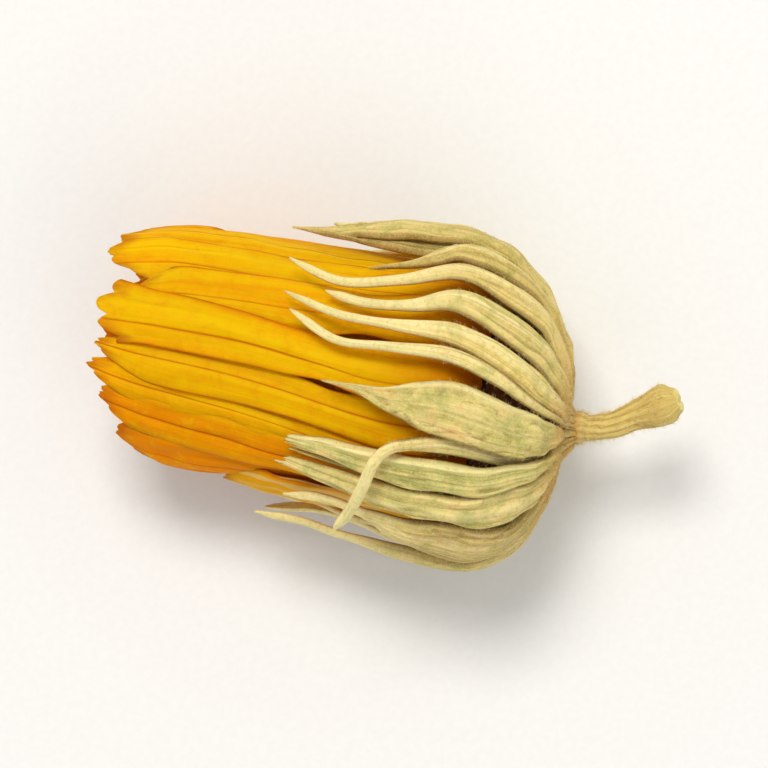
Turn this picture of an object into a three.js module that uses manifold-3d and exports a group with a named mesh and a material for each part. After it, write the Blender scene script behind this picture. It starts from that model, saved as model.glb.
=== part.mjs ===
// A dried pot marigold head, closed and lying on its side, as one standalone three.js model.
//
// Units are millimetres and +Z is up. The head lies along X: its cut stem points to +X and the tips of its
// petals to -X. The origin is on the surface that it lies on, under the middle of its bounding box.
//
// Every piece is laid out in "head space", which is (s, r, azimuth): s runs along the head from the place where
// the stem joins it, r is the distance from the head's own axis, and the azimuth turns about that axis from the
// +Y side (0 degrees) over the top (90 degrees) to the -Y side (180 degrees). place() turns head space into
// millimetres and gives the whole head its bent axis and its flattened section, so pieces that are clear of
// each other in head space stay clear.
import * as THREE from "three";
import { mergeVertices } from "three/addons/utils/BufferGeometryUtils.js";
import Module from "manifold-3d";

// ---------------------------------------------------------------- driving dimensions

const AXIS_SIDE_SHIFT = 1.05; // how far the head's axis moves to +Y between the stem and the bulge
const AXIS_SIDE_RUN = [0.5, 7.0]; // the stretch of s over which it does
const AXIS_DROOP = 1.6; // how far the petals sag towards the surface
const AXIS_DROOP_RUN = [7.0, 20.0];

const TOP_HEIGHT = 0.94; // height over half width of the section, above the axis
const UNDERSIDE_HEIGHT = 0.93; // and below it
const UNDERSIDE_FLAT = 0.84; // where the underside is pressed flat
const FLAT_SHARPNESS = 12; // how sharply the flat meets the round

const NECK_RADIUS = 1.15; // the top of the stem, inside the ring of bract bases
const SEAT_GAP = 0.3; // between two pieces that touch

const BRACT_THICKNESS = 0.35;
const OUTER_BRACT_CROWN = 0.2; // how far a bract's midrib stands over its edges
const INNER_BRACT_CROWN = 0.1;
const BRACT_FOOT = 0.7; // a bract's width where it starts, over its greatest
const BRACT_TIP_THICKNESS = 0.5; // a bract's thickness at its tip, over its greatest
const BRACT_COLUMNS = 2; // facets across a bract
const BRACT_STEPS = 12; // and along it

const PETAL_THICKNESS = 0.25;
const PETAL_CROWN = 0.08;
const PETAL_FOLD = 0.07; // how deep the lengthwise folds of an outer petal are
const PETAL_SHINGLE = 0.42; // how far one edge of a petal stands out, over its neighbour
const PETAL_TIP_ROUND = 0.035; // how far the corners of its tip fall back, as a share of its length
const OUTER_PETAL_COLUMNS = 4;
const HIDDEN_PETAL_COLUMNS = 2;
const PETAL_STEPS = 12;

const STEM_RADIUS = 0.8;
const STEM_FOOT_RADIUS = 0.95; // where it meets the head
const STEM_CUT_RADIUS = 0.97; // the cut end has dried a little wider
const STEM_SIDES = 12;
const STEM_STEPS = 8;
const STEM_WAY = [
  // s, then Y and Z from the head's axis at the stem
  [-SEAT_GAP, 0.45, -0.05],
  [-0.9, 0.62, -0.05],
  [-1.9, 1.25, 0.05],
  [-3.2, 2.1, 0.35],
  [-4.6, 2.88, 0.8],
];

const LATHE_SIDES = 24;

// Colours of the dried flower
const STRAW = 0xd8bf86;
const PALE_GREEN = 0xc4bd84;
const GREY_GREEN = 0xa9a76c;
const GOLD = 0xf2ad0c;
const DEEP_GOLD = 0xe39306;
const ORANGE = 0xd87a08;

// ---------------------------------------------------------------- head space

const radians = THREE.MathUtils.degToRad;

/** 0 before run[0], 1 after run[1] and smooth between. */
const eased = (value, run) => THREE.MathUtils.smoothstep(value, run[0], run[1]);

/** How far the section reaches at an azimuth, as a share of a round one, with the dents that drying leaves. */
function sectionReach(s, azimuth) {
  const side = Math.cos(azimuth);
  const rise = Math.sin(azimuth);
  const height = rise > 0 ? TOP_HEIGHT : UNDERSIDE_HEIGHT;
  const round = Math.hypot(side, rise / height);
  const flat = rise < 0 ? -rise / UNDERSIDE_FLAT : 0;
  const reach = (round ** FLAT_SHARPNESS + flat ** FLAT_SHARPNESS) ** (-1 / FLAT_SHARPNESS);
  const dents = 0.016 * Math.sin(3 * azimuth + 0.9 + 0.22 * s) + 0.01 * Math.sin(5 * azimuth - 0.35 * s);
  const atBulge = eased(s, [1, 5]);
  return reach * (1 + dents * atBulge);
}

/** Head space to millimetres. */
function place(s, r, azimuth) {
  const swirl = 0.03 * Math.sin(0.45 * s + 2 * azimuth) * eased(s, [2, 8]);
  const a = azimuth + swirl;
  const reach = r * sectionReach(s, a);
  return new THREE.Vector3(
    -s,
    AXIS_SIDE_SHIFT * eased(s, AXIS_SIDE_RUN) + reach * Math.cos(a),
    reach * Math.sin(a) - AXIS_DROOP * eased(s, AXIS_DROOP_RUN),
  );
}

/** Moves each vertex of a closed geometry by a function of its position, and leaves position alone on it. */
function reshape(geometry, move) {
  geometry.deleteAttribute("normal");
  geometry.deleteAttribute("uv");
  const merged = mergeVertices(geometry);
  const position = merged.getAttribute("position");
  const vertex = new THREE.Vector3();
  for (let i = 0; i < position.count; i++) {
    vertex.fromBufferAttribute(position, i);
    position.setXYZ(i, ...move(vertex).toArray());
  }
  return merged;
}

// ---------------------------------------------------------------- blades: bracts and petals

/** A smooth curve through points of head space, as (s, r, azimuth). */
const wayThrough = (points) =>
  new THREE.CatmullRomCurve3(points.map((p) => new THREE.Vector3(...p)), false, "catmullrom");

/**
 * A thin closed strip that follows a way through head space. halfAngle(t) is half its width as an angle about
 * the axis, edges(t, across) how far it stands out on the way from one edge to the other, thickness(t) how
 * thick it is, crown how far its middle stands out, fold how deep its lengthwise folds are and tipRound how far
 * the corners of its tip fall back.
 */
function bladeGeometry({ way, halfAngle, edges, thickness, crown, fold, tipRound, columns, steps }) {
  const nudge = 1e-3;
  const surface = (t, across) => {
    const at = THREE.MathUtils.clamp(t - tipRound * across * across * eased(t, [0.8, 1]), 0, 1);
    const p = way.getPoint(at);
    const tangent = way.getTangent(at);
    const turning = p.y * tangent.z;
    const span = Math.hypot(tangent.x, turning) || 1;
    const halfWidth = across * p.y * halfAngle(at);
    return place(
      p.x - (halfWidth * turning) / span,
      p.y + edges(at, across),
      p.z + (halfWidth * tangent.x) / span / p.y,
    );
  };
  const slab = new THREE.BoxGeometry(2, 1, 1, columns, 1, steps);
  return reshape(slab, ({ x: across, y: layer, z }) => {
    const t = THREE.MathUtils.clamp(z + 0.5, nudge, 1 - nudge);
    const along = surface(t + nudge, across).sub(surface(t - nudge, across));
    const sideways = surface(t, across + nudge).sub(surface(t, across - nudge));
    const outward = along.cross(sideways).normalize();
    const folded = fold * Math.cos(2 * Math.PI * across) * eased(t, [0.1, 0.4]);
    const rise = crown * (1 - across * across) + folded + layer * thickness(t);
    return surface(z + 0.5, across).addScaledVector(outward, rise);
  });
}

// ---------------------------------------------------------------- bracts

// Each ring of bracts: its way from the stem over the bulge as [s, r], and how far a midrib stands out
const OUTER_BRACT_RING = {
  crown: OUTER_BRACT_CROWN,
  way: [
    [0.5, 1.5],
    [0.7, 3.0],
    [1.2, 4.55],
    [2.2, 6.05],
    [4.0, 7.3],
    [6.5, 7.7],
    [9.0, 7.45],
    [11.5, 7.0],
    [14.0, 6.7],
  ],
};
const INNER_BRACT_RING = {
  crown: INNER_BRACT_CROWN,
  way: [
    [1.15, 1.6],
    [1.4, 2.9],
    [1.85, 4.2],
    [2.8, 5.5],
    [4.3, 6.5],
    [6.5, 6.95],
    [9.0, 6.8],
    [11.5, 6.65],
    [14.0, 6.55],
  ],
};
const BULGE_POINT = 5; // the first point of a way that lies past its shoulder
const SHOULDER_FADE = [0, 0, 0, 0.12, 0.75]; // how far a bract has left its place at the shoulder, at each point before
const SHOULDER_RUN = [0.33, 0.6]; // the stretch of a bract over which it takes on the width it has at the bulge

// Each bract: its azimuth at the bulge and at three places from there to its tip, half its width as an angle,
// how far along the head it reaches and how far its tip lifts off. taper is the stretch of it that narrows, and
// shoulder gives the azimuths of its two edges between the stem and the bulge, where it is wider or turned.
const THREAD_TIP = { taper: [0.52, 0.86], tip: 0.16 };
const POINTED_TIP = { taper: [0.5, 1.0], tip: 0.12 };
const BLUNT_TIP = { taper: [0.7, 1.0], tip: 0.5 };
const OUTER_BRACTS = [
  { azimuths: [8, 8, 8, 8], half: 8.2, shoulder: [2, 15], reach: 13.8, lift: 0.2, ...POINTED_TIP },
  { azimuths: [27.5, 32.5, 36.5, 38], half: 5.3, shoulder: [16.5, 20.5], reach: 10.6, lift: 0.1, ...POINTED_TIP },
  { azimuths: [40, 48.5, 51, 43.5], half: 4.6, shoulder: [22, 39.5], reach: 14.7, lift: 0.5, ...THREAD_TIP },
  { azimuths: [54, 58, 57.5, 54], half: 5.0, shoulder: [41.5, 59], reach: 12.7, lift: 0.2, ...THREAD_TIP },
  { azimuths: [68, 67.2, 65, 61], half: 4.8, shoulder: [61.5, 75], reach: 14.6, lift: 0.5, ...THREAD_TIP },
  { azimuths: [76.4, 76, 74.2, 68.2], half: 2.4, shoulder: [76.2, 79.5], reach: 14.2, lift: 0.3, ...THREAD_TIP, tip: 0.34 },
  { azimuths: [95.2, 94, 92.5, 92.5], half: 11.3, shoulder: [82, 103], reach: 12.1, lift: 0.2, ...POINTED_TIP },
  { azimuths: [120.1, 121, 122.5, 125], half: 6.1, shoulder: [106.5, 116.4], reach: 13.4, lift: 0.0, ...BLUNT_TIP },
  { azimuths: [133.9, 134.7, 135, 135], half: 5.6, shoulder: [119, 137.5], reach: 13.6, lift: 0.1, ...BLUNT_TIP },
  { azimuths: [154, 151, 153, 157], half: 11.0, shoulder: [143, 169], reach: 12.9, lift: 0.1, ...THREAD_TIP },
  { azimuths: [182, 183, 181, 178], half: 8.5, shoulder: [171.5, 190], reach: 14.1, lift: 0.4, ...THREAD_TIP },
  { azimuths: [206, 208, 208, 202], half: 8.5, shoulder: [193, 215], reach: 13.7, lift: 0.8, ...THREAD_TIP },
  { azimuths: [230, 229, 228, 232], half: 8.0, shoulder: [219, 240], reach: 12.7, lift: 0.1, ...POINTED_TIP },
  { azimuths: [254, 254, 256, 255], half: 8.5, shoulder: [244, 265], reach: 12.8, lift: 0.0, ...BLUNT_TIP },
  { azimuths: [279, 280, 280, 283], half: 8.5, shoulder: [269, 289], reach: 12.2, lift: 0.0, ...POINTED_TIP },
  { azimuths: [303, 303, 301, 300], half: 8.0, shoulder: [293, 312], reach: 13.6, lift: 0.1, ...BLUNT_TIP },
  { azimuths: [326, 328, 329, 324], half: 8.0, shoulder: [316, 335.5], reach: 13.3, lift: 0.5, ...THREAD_TIP },
  { azimuths: [348, 347, 348, 350], half: 6.5, shoulder: [339.5, 357], reach: 13.2, lift: 0.3, ...THREAD_TIP },
];
const INNER_BRACTS = [
  { azimuths: [15, 15, 15, 16], half: 9.5, reach: 13.6, lift: 0.1, ...POINTED_TIP },
  { azimuths: [108.5], half: 4.6, droops: true, taper: [0.25, 0.6], tip: 0.28 },
  { azimuths: [127.5, 128, 129, 130], half: 6.5, reach: 13.0, lift: 0.0, ...POINTED_TIP },
  { azimuths: [197, 199, 201, 203], half: 6.5, reach: 13.2, lift: 0.0, ...THREAD_TIP },
  { azimuths: [218.5, 219, 218, 220], half: 6.5, reach: 13.6, lift: 0.0, ...POINTED_TIP },
  { azimuths: [242, 242, 242, 243], half: 6.5, reach: 13.0, lift: 0.0, ...THREAD_TIP },
  { azimuths: [266.5, 267, 268, 269], half: 6.5, reach: 13.3, lift: 0.0, ...POINTED_TIP },
  { azimuths: [291, 291, 290, 291], half: 6.5, reach: 13.8, lift: 0.0, ...THREAD_TIP },
  { azimuths: [314.5, 314, 315, 313], half: 6.5, reach: 12.9, lift: 0.0, ...POINTED_TIP },
  { azimuths: [337.5, 338, 338, 340], half: 6.5, reach: 13.5, lift: 0.0, ...THREAD_TIP },
];

// The one bract whose thin tip comes out between its neighbours and bends down across them, as [s, r, azimuth]
const DROOPING_TIP = [
  [6.5, 7.1, 110],
  [7.5, 7.75, 109.4],
  [8.3, 8.4, 109.8],
  [8.9, 8.8, 114],
  [9.25, 8.85, 125],
  [9.65, 8.8, 138],
  [10.2, 8.75, 149],
];

/** The points that a bract follows, as (s, r, azimuth in radians). */
function bractWay(bract, way) {
  const [atBulge] = bract.azimuths;
  const [low, high] = bract.shoulder ?? [atBulge, atBulge];
  const start = way.slice(0, BULGE_POINT).map(([s, r], i) => {
    return [s, r, radians(THREE.MathUtils.lerp((low + high) / 2, atBulge, SHOULDER_FADE[i]))];
  });
  if (bract.droops) {
    return [...start, ...DROOPING_TIP.map(([s, r, azimuth]) => [s, r, radians(azimuth)])];
  }
  const rest = way.slice(BULGE_POINT);
  const [bulgeS] = rest[0];
  const [endS] = rest.at(-1);
  return [
    ...start,
    ...rest.map(([s, r], i) => {
      const share = (s - bulgeS) / (endS - bulgeS);
      return [
        bulgeS + share * (bract.reach - bulgeS),
        r + bract.lift * share * share,
        radians(bract.azimuths[i]),
      ];
    }),
  ];
}

/** Half a bract's width as an angle, along its way. */
function bractHalfAngle(bract, t) {
  const [low, high] = bract.shoulder ?? [-bract.half, bract.half];
  const foot = THREE.MathUtils.lerp(BRACT_FOOT, 1, eased(t, [0, 0.3]));
  const tip = THREE.MathUtils.lerp(1, bract.tip, eased(t, bract.taper));
  return radians(THREE.MathUtils.lerp((high - low) / 2, bract.half, eased(t, SHOULDER_RUN))) * foot * tip;
}

function bractGeometry(bract, ring) {
  return bladeGeometry({
    way: wayThrough(bractWay(bract, ring.way)),
    halfAngle: (t) => bractHalfAngle(bract, t),
    edges: () => 0,
    thickness: (t) => BRACT_THICKNESS * THREE.MathUtils.lerp(1, BRACT_TIP_THICKNESS, eased(t, [0.6, 1])),
    crown: ring.crown,
    fold: 0,
    tipRound: 0,
    columns: BRACT_COLUMNS,
    steps: BRACT_STEPS,
  });
}

// ---------------------------------------------------------------- petals (ray florets)

// Each ring of petals: its way from the receptacle to the tips as [s, r], and the facets across a petal
const OUTER_PETAL_RING = {
  columns: OUTER_PETAL_COLUMNS,
  fold: PETAL_FOLD,
  way: [
    [4.7, 4.7],
    [6.2, 5.5],
    [8.5, 5.65],
    [12.0, 5.6],
    [16.0, 5.6],
    [20.0, 5.35],
    [23.5, 4.75],
  ],
};
const MIDDLE_PETAL_RING = {
  columns: HIDDEN_PETAL_COLUMNS,
  fold: 0,
  way: [
    [4.9, 3.35],
    [6.4, 3.85],
    [8.8, 4.1],
    [12.0, 4.15],
    [16.0, 4.1],
    [20.0, 3.85],
    [23.5, 3.35],
  ],
};
const INNER_PETAL_RING = {
  columns: HIDDEN_PETAL_COLUMNS,
  fold: 0,
  way: [
    [5.05, 2.45],
    [6.6, 2.65],
    [9.0, 2.65],
    [12.0, 2.45],
    [16.0, 2.15],
    [20.0, 1.75],
    [23.5, 1.3],
  ],
};

// How a petal lies among its neighbours: how far its near and its far edge stand out, in shingles
const OVER_BOTH = [1, 1];
const OVER_NEXT = [-1, 1];
const OVER_LAST = [1, -1];
const UNDER_BOTH = [-1, -1];

// Each petal: its azimuth, how far it has turned and flared out at its tip, half its width as an angle, how far
// along the head it reaches and how it lies
const OUTER_PETALS = [
  { at: 14, turn: 8, half: 14.5, reach: 22.4, flare: 0, lies: OVER_LAST },
  { at: 37, turn: 11, half: 13.5, reach: 22.9, flare: 0, lies: OVER_LAST },
  { at: 55.5, turn: 11, half: 13.5, reach: 22.7, flare: 0, lies: OVER_LAST },
  { at: 84.5, turn: -6, half: 14.5, reach: 23.4, flare: -0.1, lies: OVER_BOTH },
  { at: 108.3, turn: -11, half: 12.5, reach: 23.1, flare: 0, lies: OVER_NEXT },
  { at: 127.5, turn: -17, half: 10.0, reach: 23.4, flare: 0, lies: OVER_NEXT },
  { at: 142.5, turn: -19, half: 11.5, reach: 22.7, flare: 0, lies: OVER_NEXT },
  { at: 161, turn: -18, half: 14.0, reach: 21.6, flare: 0.1, lies: UNDER_BOTH },
  { at: 177, turn: -4, half: 13.0, reach: 16.5, flare: 0.4, lies: OVER_BOTH },
  { at: 208.5, turn: 1, half: 15.0, reach: 20.6, flare: 0, lies: OVER_NEXT },
  { at: 235.5, turn: 2, half: 15.5, reach: 21.6, flare: 0, lies: OVER_NEXT },
  { at: 263, turn: -1, half: 15.5, reach: 22.3, flare: 0, lies: UNDER_BOTH },
  { at: 290.5, turn: 2, half: 15.5, reach: 22.8, flare: 0, lies: OVER_LAST },
  { at: 318, turn: -2, half: 15.5, reach: 21.7, flare: 0.1, lies: OVER_LAST },
  { at: 346, turn: 3, half: 15.5, reach: 22.7, flare: 0.1, lies: OVER_LAST },
];
const MIDDLE_PETALS = evenRing([22.4, 21.6, 22.9, 21.8, 20.4, 18.9, 20.9, 22.6, 22.0], 8, 24);
const INNER_PETALS = evenRing([21.4, 22.3, 20.8, 21.9, 22.5], 35, 42);

/** Petals spaced evenly about the axis from a first azimuth, one for each reach. */
function evenRing(reaches, first, half) {
  return reaches.map((reach, i) => ({
    at: first + (360 * i) / reaches.length,
    turn: 0,
    half,
    reach,
    flare: 0,
    lies: OVER_NEXT,
  }));
}

/** A petal's width over its greatest: a narrow claw, a long even blade and a rounded tip. */
function petalTaper(t) {
  const claw = THREE.MathUtils.lerp(0.3, 1, eased(t, [0, 0.42]));
  const tip = THREE.MathUtils.lerp(1, 0.55, eased(t, [0.84, 1]));
  return claw * tip;
}

function petalGeometry(petal, ring) {
  const [startS] = ring.way[0];
  const [endS] = ring.way.at(-1);
  const points = ring.way.map(([s, r]) => {
    const share = (s - startS) / (endS - startS);
    return [
      startS + share * (petal.reach - startS),
      r + petal.flare * share * share,
      radians(petal.at + petal.turn * share * share),
    ];
  });
  const [near, far] = petal.lies;
  return bladeGeometry({
    way: wayThrough(points),
    halfAngle: (t) => radians(petal.half) * petalTaper(t),
    edges: (t, across) =>
      PETAL_SHINGLE * eased(t, [0, 0.3]) * THREE.MathUtils.lerp(near, far, (across + 1) / 2),
    thickness: () => PETAL_THICKNESS,
    crown: PETAL_CROWN,
    fold: ring.fold,
    tipRound: PETAL_TIP_ROUND,
    columns: ring.columns,
    steps: PETAL_STEPS,
  });
}

// ---------------------------------------------------------------- receptacle, disc florets and stem

// The receptacle's outline as [r, s], from the stem up the outside and over the top
const RECEPTACLE_OUTLINE = [
  [0, 0],
  [NECK_RADIUS, 0],
  [NECK_RADIUS, 1.2],
  [2.2, 1.75],
  [3.7, 2.55],
  [4.7, 3.4],
  [4.75, 4.0],
  [4.3, 4.36],
  [3.0, 4.6],
  [1.6, 4.72],
  [0, 4.78],
];

/** A round piece about the head's axis, from an outline of [r, s] points. */
function turnedGeometry(outline, sides) {
  const turned = new THREE.LatheGeometry(outline.map(([r, s]) => new THREE.Vector2(r, s)), sides);
  return reshape(turned, ({ x, y, z }) => place(y, Math.hypot(x, z), Math.atan2(z, x)));
}

const FLORET_FOOT_S = 5.05; // where the disc florets stand on the receptacle
const FLORET_MAT_RADIUS = 1.85;
const FLORET_MAT_THICKNESS = 0.5;
const FLORET_SPACING = 0.68;
const FLORET_RINGS = 2;
const FLORET_LENGTH = 3.2;
const FLORET_SPLAY = 0.07; // how far each leans out, per millimetre from the middle
const FLORET_SIDES = 6;
// One floret's outline as [r, height]: a tube that opens into a small bell
const FLORET_OUTLINE = [
  [0, 0.1],
  [0.2, 0.1],
  [0.2, 2.1],
  [0.31, 2.7],
  [0.27, 3.1],
  [0, FLORET_LENGTH],
];

/** The feet of the disc florets on a six-sided grid, as [y, z] from the axis. */
function floretFeet() {
  const feet = [];
  for (let row = -FLORET_RINGS; row <= FLORET_RINGS; row++) {
    for (let column = -FLORET_RINGS; column <= FLORET_RINGS; column++) {
      if (Math.abs(row + column) > FLORET_RINGS) continue;
      feet.push([FLORET_SPACING * (column + row / 2), FLORET_SPACING * row * Math.sin(radians(60))]);
    }
  }
  return feet;
}

/** The disc florets and the mat that their feet form on the receptacle, joined as one solid. */
async function discFloretsGeometry() {
  const wasm = await Module();
  wasm.setup();
  const solid = (geometry) =>
    new wasm.Manifold(
      new wasm.Mesh({
        numProp: 3,
        vertProperties: geometry.getAttribute("position").array,
        triVerts: new Uint32Array(geometry.index.array),
      }),
    );
  const matOutline = [
    [0, FLORET_FOOT_S],
    [FLORET_MAT_RADIUS, FLORET_FOOT_S],
    [FLORET_MAT_RADIUS, FLORET_FOOT_S + FLORET_MAT_THICKNESS],
    [0, FLORET_FOOT_S + FLORET_MAT_THICKNESS],
  ];
  const florets = floretFeet().map(([y, z]) => {
    const floret = new THREE.LatheGeometry(FLORET_OUTLINE.map((p) => new THREE.Vector2(...p)), FLORET_SIDES);
    return reshape(floret, (v) => {
      const lean = 1 + FLORET_SPLAY * v.y;
      const across = v.x + y * lean;
      const up = v.z + z * lean;
      return place(FLORET_FOOT_S + v.y, Math.hypot(across, up), Math.atan2(up, across));
    });
  });
  const mat = solid(turnedGeometry(matOutline, LATHE_SIDES));
  const joined = florets.reduce((all, floret) => all.add(solid(floret)), mat);
  const { vertProperties, triVerts } = joined.getMesh();
  return new THREE.BufferGeometry()
    .setAttribute("position", new THREE.BufferAttribute(vertProperties, 3))
    .setIndex(new THREE.BufferAttribute(triVerts, 1));
}

/** The short cut stem: a ribbed rod that follows STEM_WAY and widens at its cut. */
function stemGeometry() {
  const centre = new THREE.CatmullRomCurve3(STEM_WAY.map(([s, y, z]) => new THREE.Vector3(-s, y, z)));
  const rod = new THREE.CylinderGeometry(1, 1, 1, STEM_SIDES, STEM_STEPS);
  return reshape(rod, ({ x, y, z }) => {
    const t = y + 0.5;
    const forward = centre.getTangent(t);
    const sideways = new THREE.Vector3(0, 0, 1).cross(forward).normalize();
    const upward = forward.clone().cross(sideways);
    const foot = (STEM_FOOT_RADIUS - STEM_RADIUS) * (1 - eased(t, [0, 0.3]));
    const cut = (STEM_CUT_RADIUS - STEM_RADIUS) * eased(t, [0.6, 1]);
    const radius = STEM_RADIUS + foot + cut;
    return centre
      .getPoint(t)
      .addScaledVector(upward, x * radius)
      .addScaledVector(sideways, z * radius);
  });
}

// ---------------------------------------------------------------- the flower

const dried = (color, roughness) => new THREE.MeshStandardMaterial({ color, roughness, metalness: 0 });
const numbered = (name, index) => `${name}_${String(index + 1).padStart(2, "0")}`;

function piece(name, geometry, material) {
  const mesh = new THREE.Mesh(geometry, material);
  mesh.name = name;
  return mesh;
}

/** One named mesh for each bract or petal of a ring. */
function ringOf(name, blades, ring, geometryOf, material) {
  return blades.map((blade, i) => piece(numbered(name, i), geometryOf(blade, ring), material));
}

async function marigold() {
  const head = new THREE.Group();
  head.add(
    piece("stem", stemGeometry(), dried(STRAW, 0.85)),
    piece("receptacle", turnedGeometry(RECEPTACLE_OUTLINE, LATHE_SIDES), dried(STRAW, 0.9)),
    piece("disc_florets", await discFloretsGeometry(), dried(ORANGE, 0.8)),
    ...ringOf("outer_bract", OUTER_BRACTS, OUTER_BRACT_RING, bractGeometry, dried(PALE_GREEN, 0.85)),
    ...ringOf("inner_bract", INNER_BRACTS, INNER_BRACT_RING, bractGeometry, dried(GREY_GREEN, 0.85)),
    ...ringOf("outer_petal", OUTER_PETALS, OUTER_PETAL_RING, petalGeometry, dried(GOLD, 0.55)),
    ...ringOf("middle_petal", MIDDLE_PETALS, MIDDLE_PETAL_RING, petalGeometry, dried(DEEP_GOLD, 0.6)),
    ...ringOf("inner_petal", INNER_PETALS, INNER_PETAL_RING, petalGeometry, dried(DEEP_GOLD, 0.6)),
  );
  const box = new THREE.Box3().setFromObject(head, true);
  const middle = box.getCenter(new THREE.Vector3());
  head.position.set(-middle.x, -middle.y, -box.min.z);
  return head;
}

export default await marigold();
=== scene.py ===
"""A dried pot marigold head, closed and lying on its side, modelled leaf by leaf around its CAD frame.

Every bract and petal is laid out in "head space": s runs along the head from the place where the stem joins
it, r is the distance from the head's own axis, and the azimuth turns about that axis, with 90 degrees at the
top. Sizes are in millimetres until a mesh is finished, and the finished meshes are in metres.
"""

import sys
import logging
import math
from dataclasses import dataclass, field
from enum import Enum
from typing import ClassVar

import bmesh
import bpy
import numpy as np
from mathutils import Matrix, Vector


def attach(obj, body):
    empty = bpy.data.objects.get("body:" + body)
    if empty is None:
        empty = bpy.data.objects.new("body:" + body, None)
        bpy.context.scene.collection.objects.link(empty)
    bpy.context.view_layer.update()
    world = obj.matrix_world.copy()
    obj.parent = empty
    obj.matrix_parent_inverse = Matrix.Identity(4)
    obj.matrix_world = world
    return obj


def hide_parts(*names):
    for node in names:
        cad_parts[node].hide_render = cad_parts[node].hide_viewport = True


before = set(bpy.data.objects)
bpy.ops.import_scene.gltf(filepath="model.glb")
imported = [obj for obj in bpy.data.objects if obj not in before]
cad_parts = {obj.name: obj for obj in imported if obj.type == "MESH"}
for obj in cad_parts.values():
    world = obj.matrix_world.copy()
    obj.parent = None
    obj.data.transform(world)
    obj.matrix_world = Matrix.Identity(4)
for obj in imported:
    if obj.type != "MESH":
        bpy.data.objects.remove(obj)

MM = 0.001
Array = np.ndarray
Colour = tuple[float, float, float, float]
Socket = bpy.types.NodeSocket
Run = tuple[float, float]

log = logging.getLogger("marigold")


# ------------------------------------------------------------------------------------ small helpers


def eased(value: Array | float, low: Array | float, high: float) -> Array:
    """Rises smoothly from 0 to 1 over a stretch.

    Args:
        value: Where to read it.
        low: The end where it is 0, one for all or one for each value.
        high: The end where it is 1.

    Returns:
        One share for each value.
    """
    share = np.clip((np.asarray(value, float) - low) / (high - low), 0.0, 1.0)
    return share * share * (3.0 - 2.0 * share)


def between(first: Array | float, second: Array | float, share: Array | float) -> Array:
    """The value a share of the way from the first to the second."""
    return first + (np.asarray(second) - first) * share


def swell(off: Array, width: float) -> Array:
    """1 where something is off by nothing, and falling away smoothly over about the width."""
    return np.exp(-((off / width) ** 2))


def paint(red: int, green: int, blue: int) -> Colour:
    """Turns a colour as a paint chart gives it into one that a shader takes.

    Args:
        red: 0 to 255.
        green: 0 to 255.
        blue: 0 to 255.

    Returns:
        Linear red, green and blue from 0 to 1, and an alpha of 1.
    """
    shares = (red / 255, green / 255, blue / 255)
    linear = [c / 12.92 if c <= 0.04045 else ((c + 0.055) / 1.055) ** 2.4 for c in shares]
    return (*linear, 1.0)


def unit(rows: Array) -> Array:
    """Brings each row to a length of 1."""
    return rows / np.maximum(np.linalg.norm(rows, axis=-1, keepdims=True), 1e-12)


class Wander:
    """A smooth seeded wobble between about -1 and 1 along a line from 0 to 1."""

    def __init__(self, seed: int, bends: int) -> None:
        """Draws its bends.

        Args:
            seed: The same seed always gives the same wobble.
            bends: How many bends it has along the line.
        """
        self.bends = bends
        self.values = np.random.default_rng(seed).uniform(-1.0, 1.0, bends + 4)

    def at(self, where: Array | float) -> Array:
        """Reads the wobble.

        Args:
            where: Places on the line, from 0 to 1.

        Returns:
            The wobble at each place.
        """
        place = np.clip(np.asarray(where, float), 0.0, 1.0) * self.bends
        first = np.minimum(place.astype(int), self.bends - 1)
        w = place - first
        a, b, c, d = (self.values[first + i] for i in range(4))
        return b + 0.5 * w * (c - a + w * (2 * a - 5 * b + 4 * c - d + w * (3 * (b - c) + d - a)))


class Crumple:
    """A smooth seeded unevenness between about -1 and 1 over a sheet."""

    WAVES = 6
    HEIGHT = 2.6

    def __init__(self, seed: int, along: tuple[float, float], across: tuple[float, float]) -> None:
        """Draws its waves.

        Args:
            seed: The same seed always gives the same unevenness.
            along: The least and the most waves that fit along the sheet.
            across: And across it.
        """
        draws = np.random.default_rng(seed)
        self.along = draws.uniform(*along, self.WAVES)
        self.across = draws.uniform(*across, self.WAVES) * draws.choice([-1, 1], self.WAVES)
        self.phase = draws.uniform(0, 2 * math.pi, self.WAVES)

    def at(self, t: Array, across: Array) -> Array:
        """Reads the unevenness.

        Args:
            t: How far along the sheet, from 0 to 1.
            across: How far across it, from -1 to 1.

        Returns:
            The unevenness at each place.
        """
        waves = [
            np.sin(2 * math.pi * (f * t + 0.5 * g * across) + p + 1.3 * np.sin(3 * across + 7 * t + p))
            for f, g, p in zip(self.along, self.across, self.phase)
        ]
        return sum(waves) / self.HEIGHT


# --------------------------------------------------------------------------------------- head space


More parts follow.
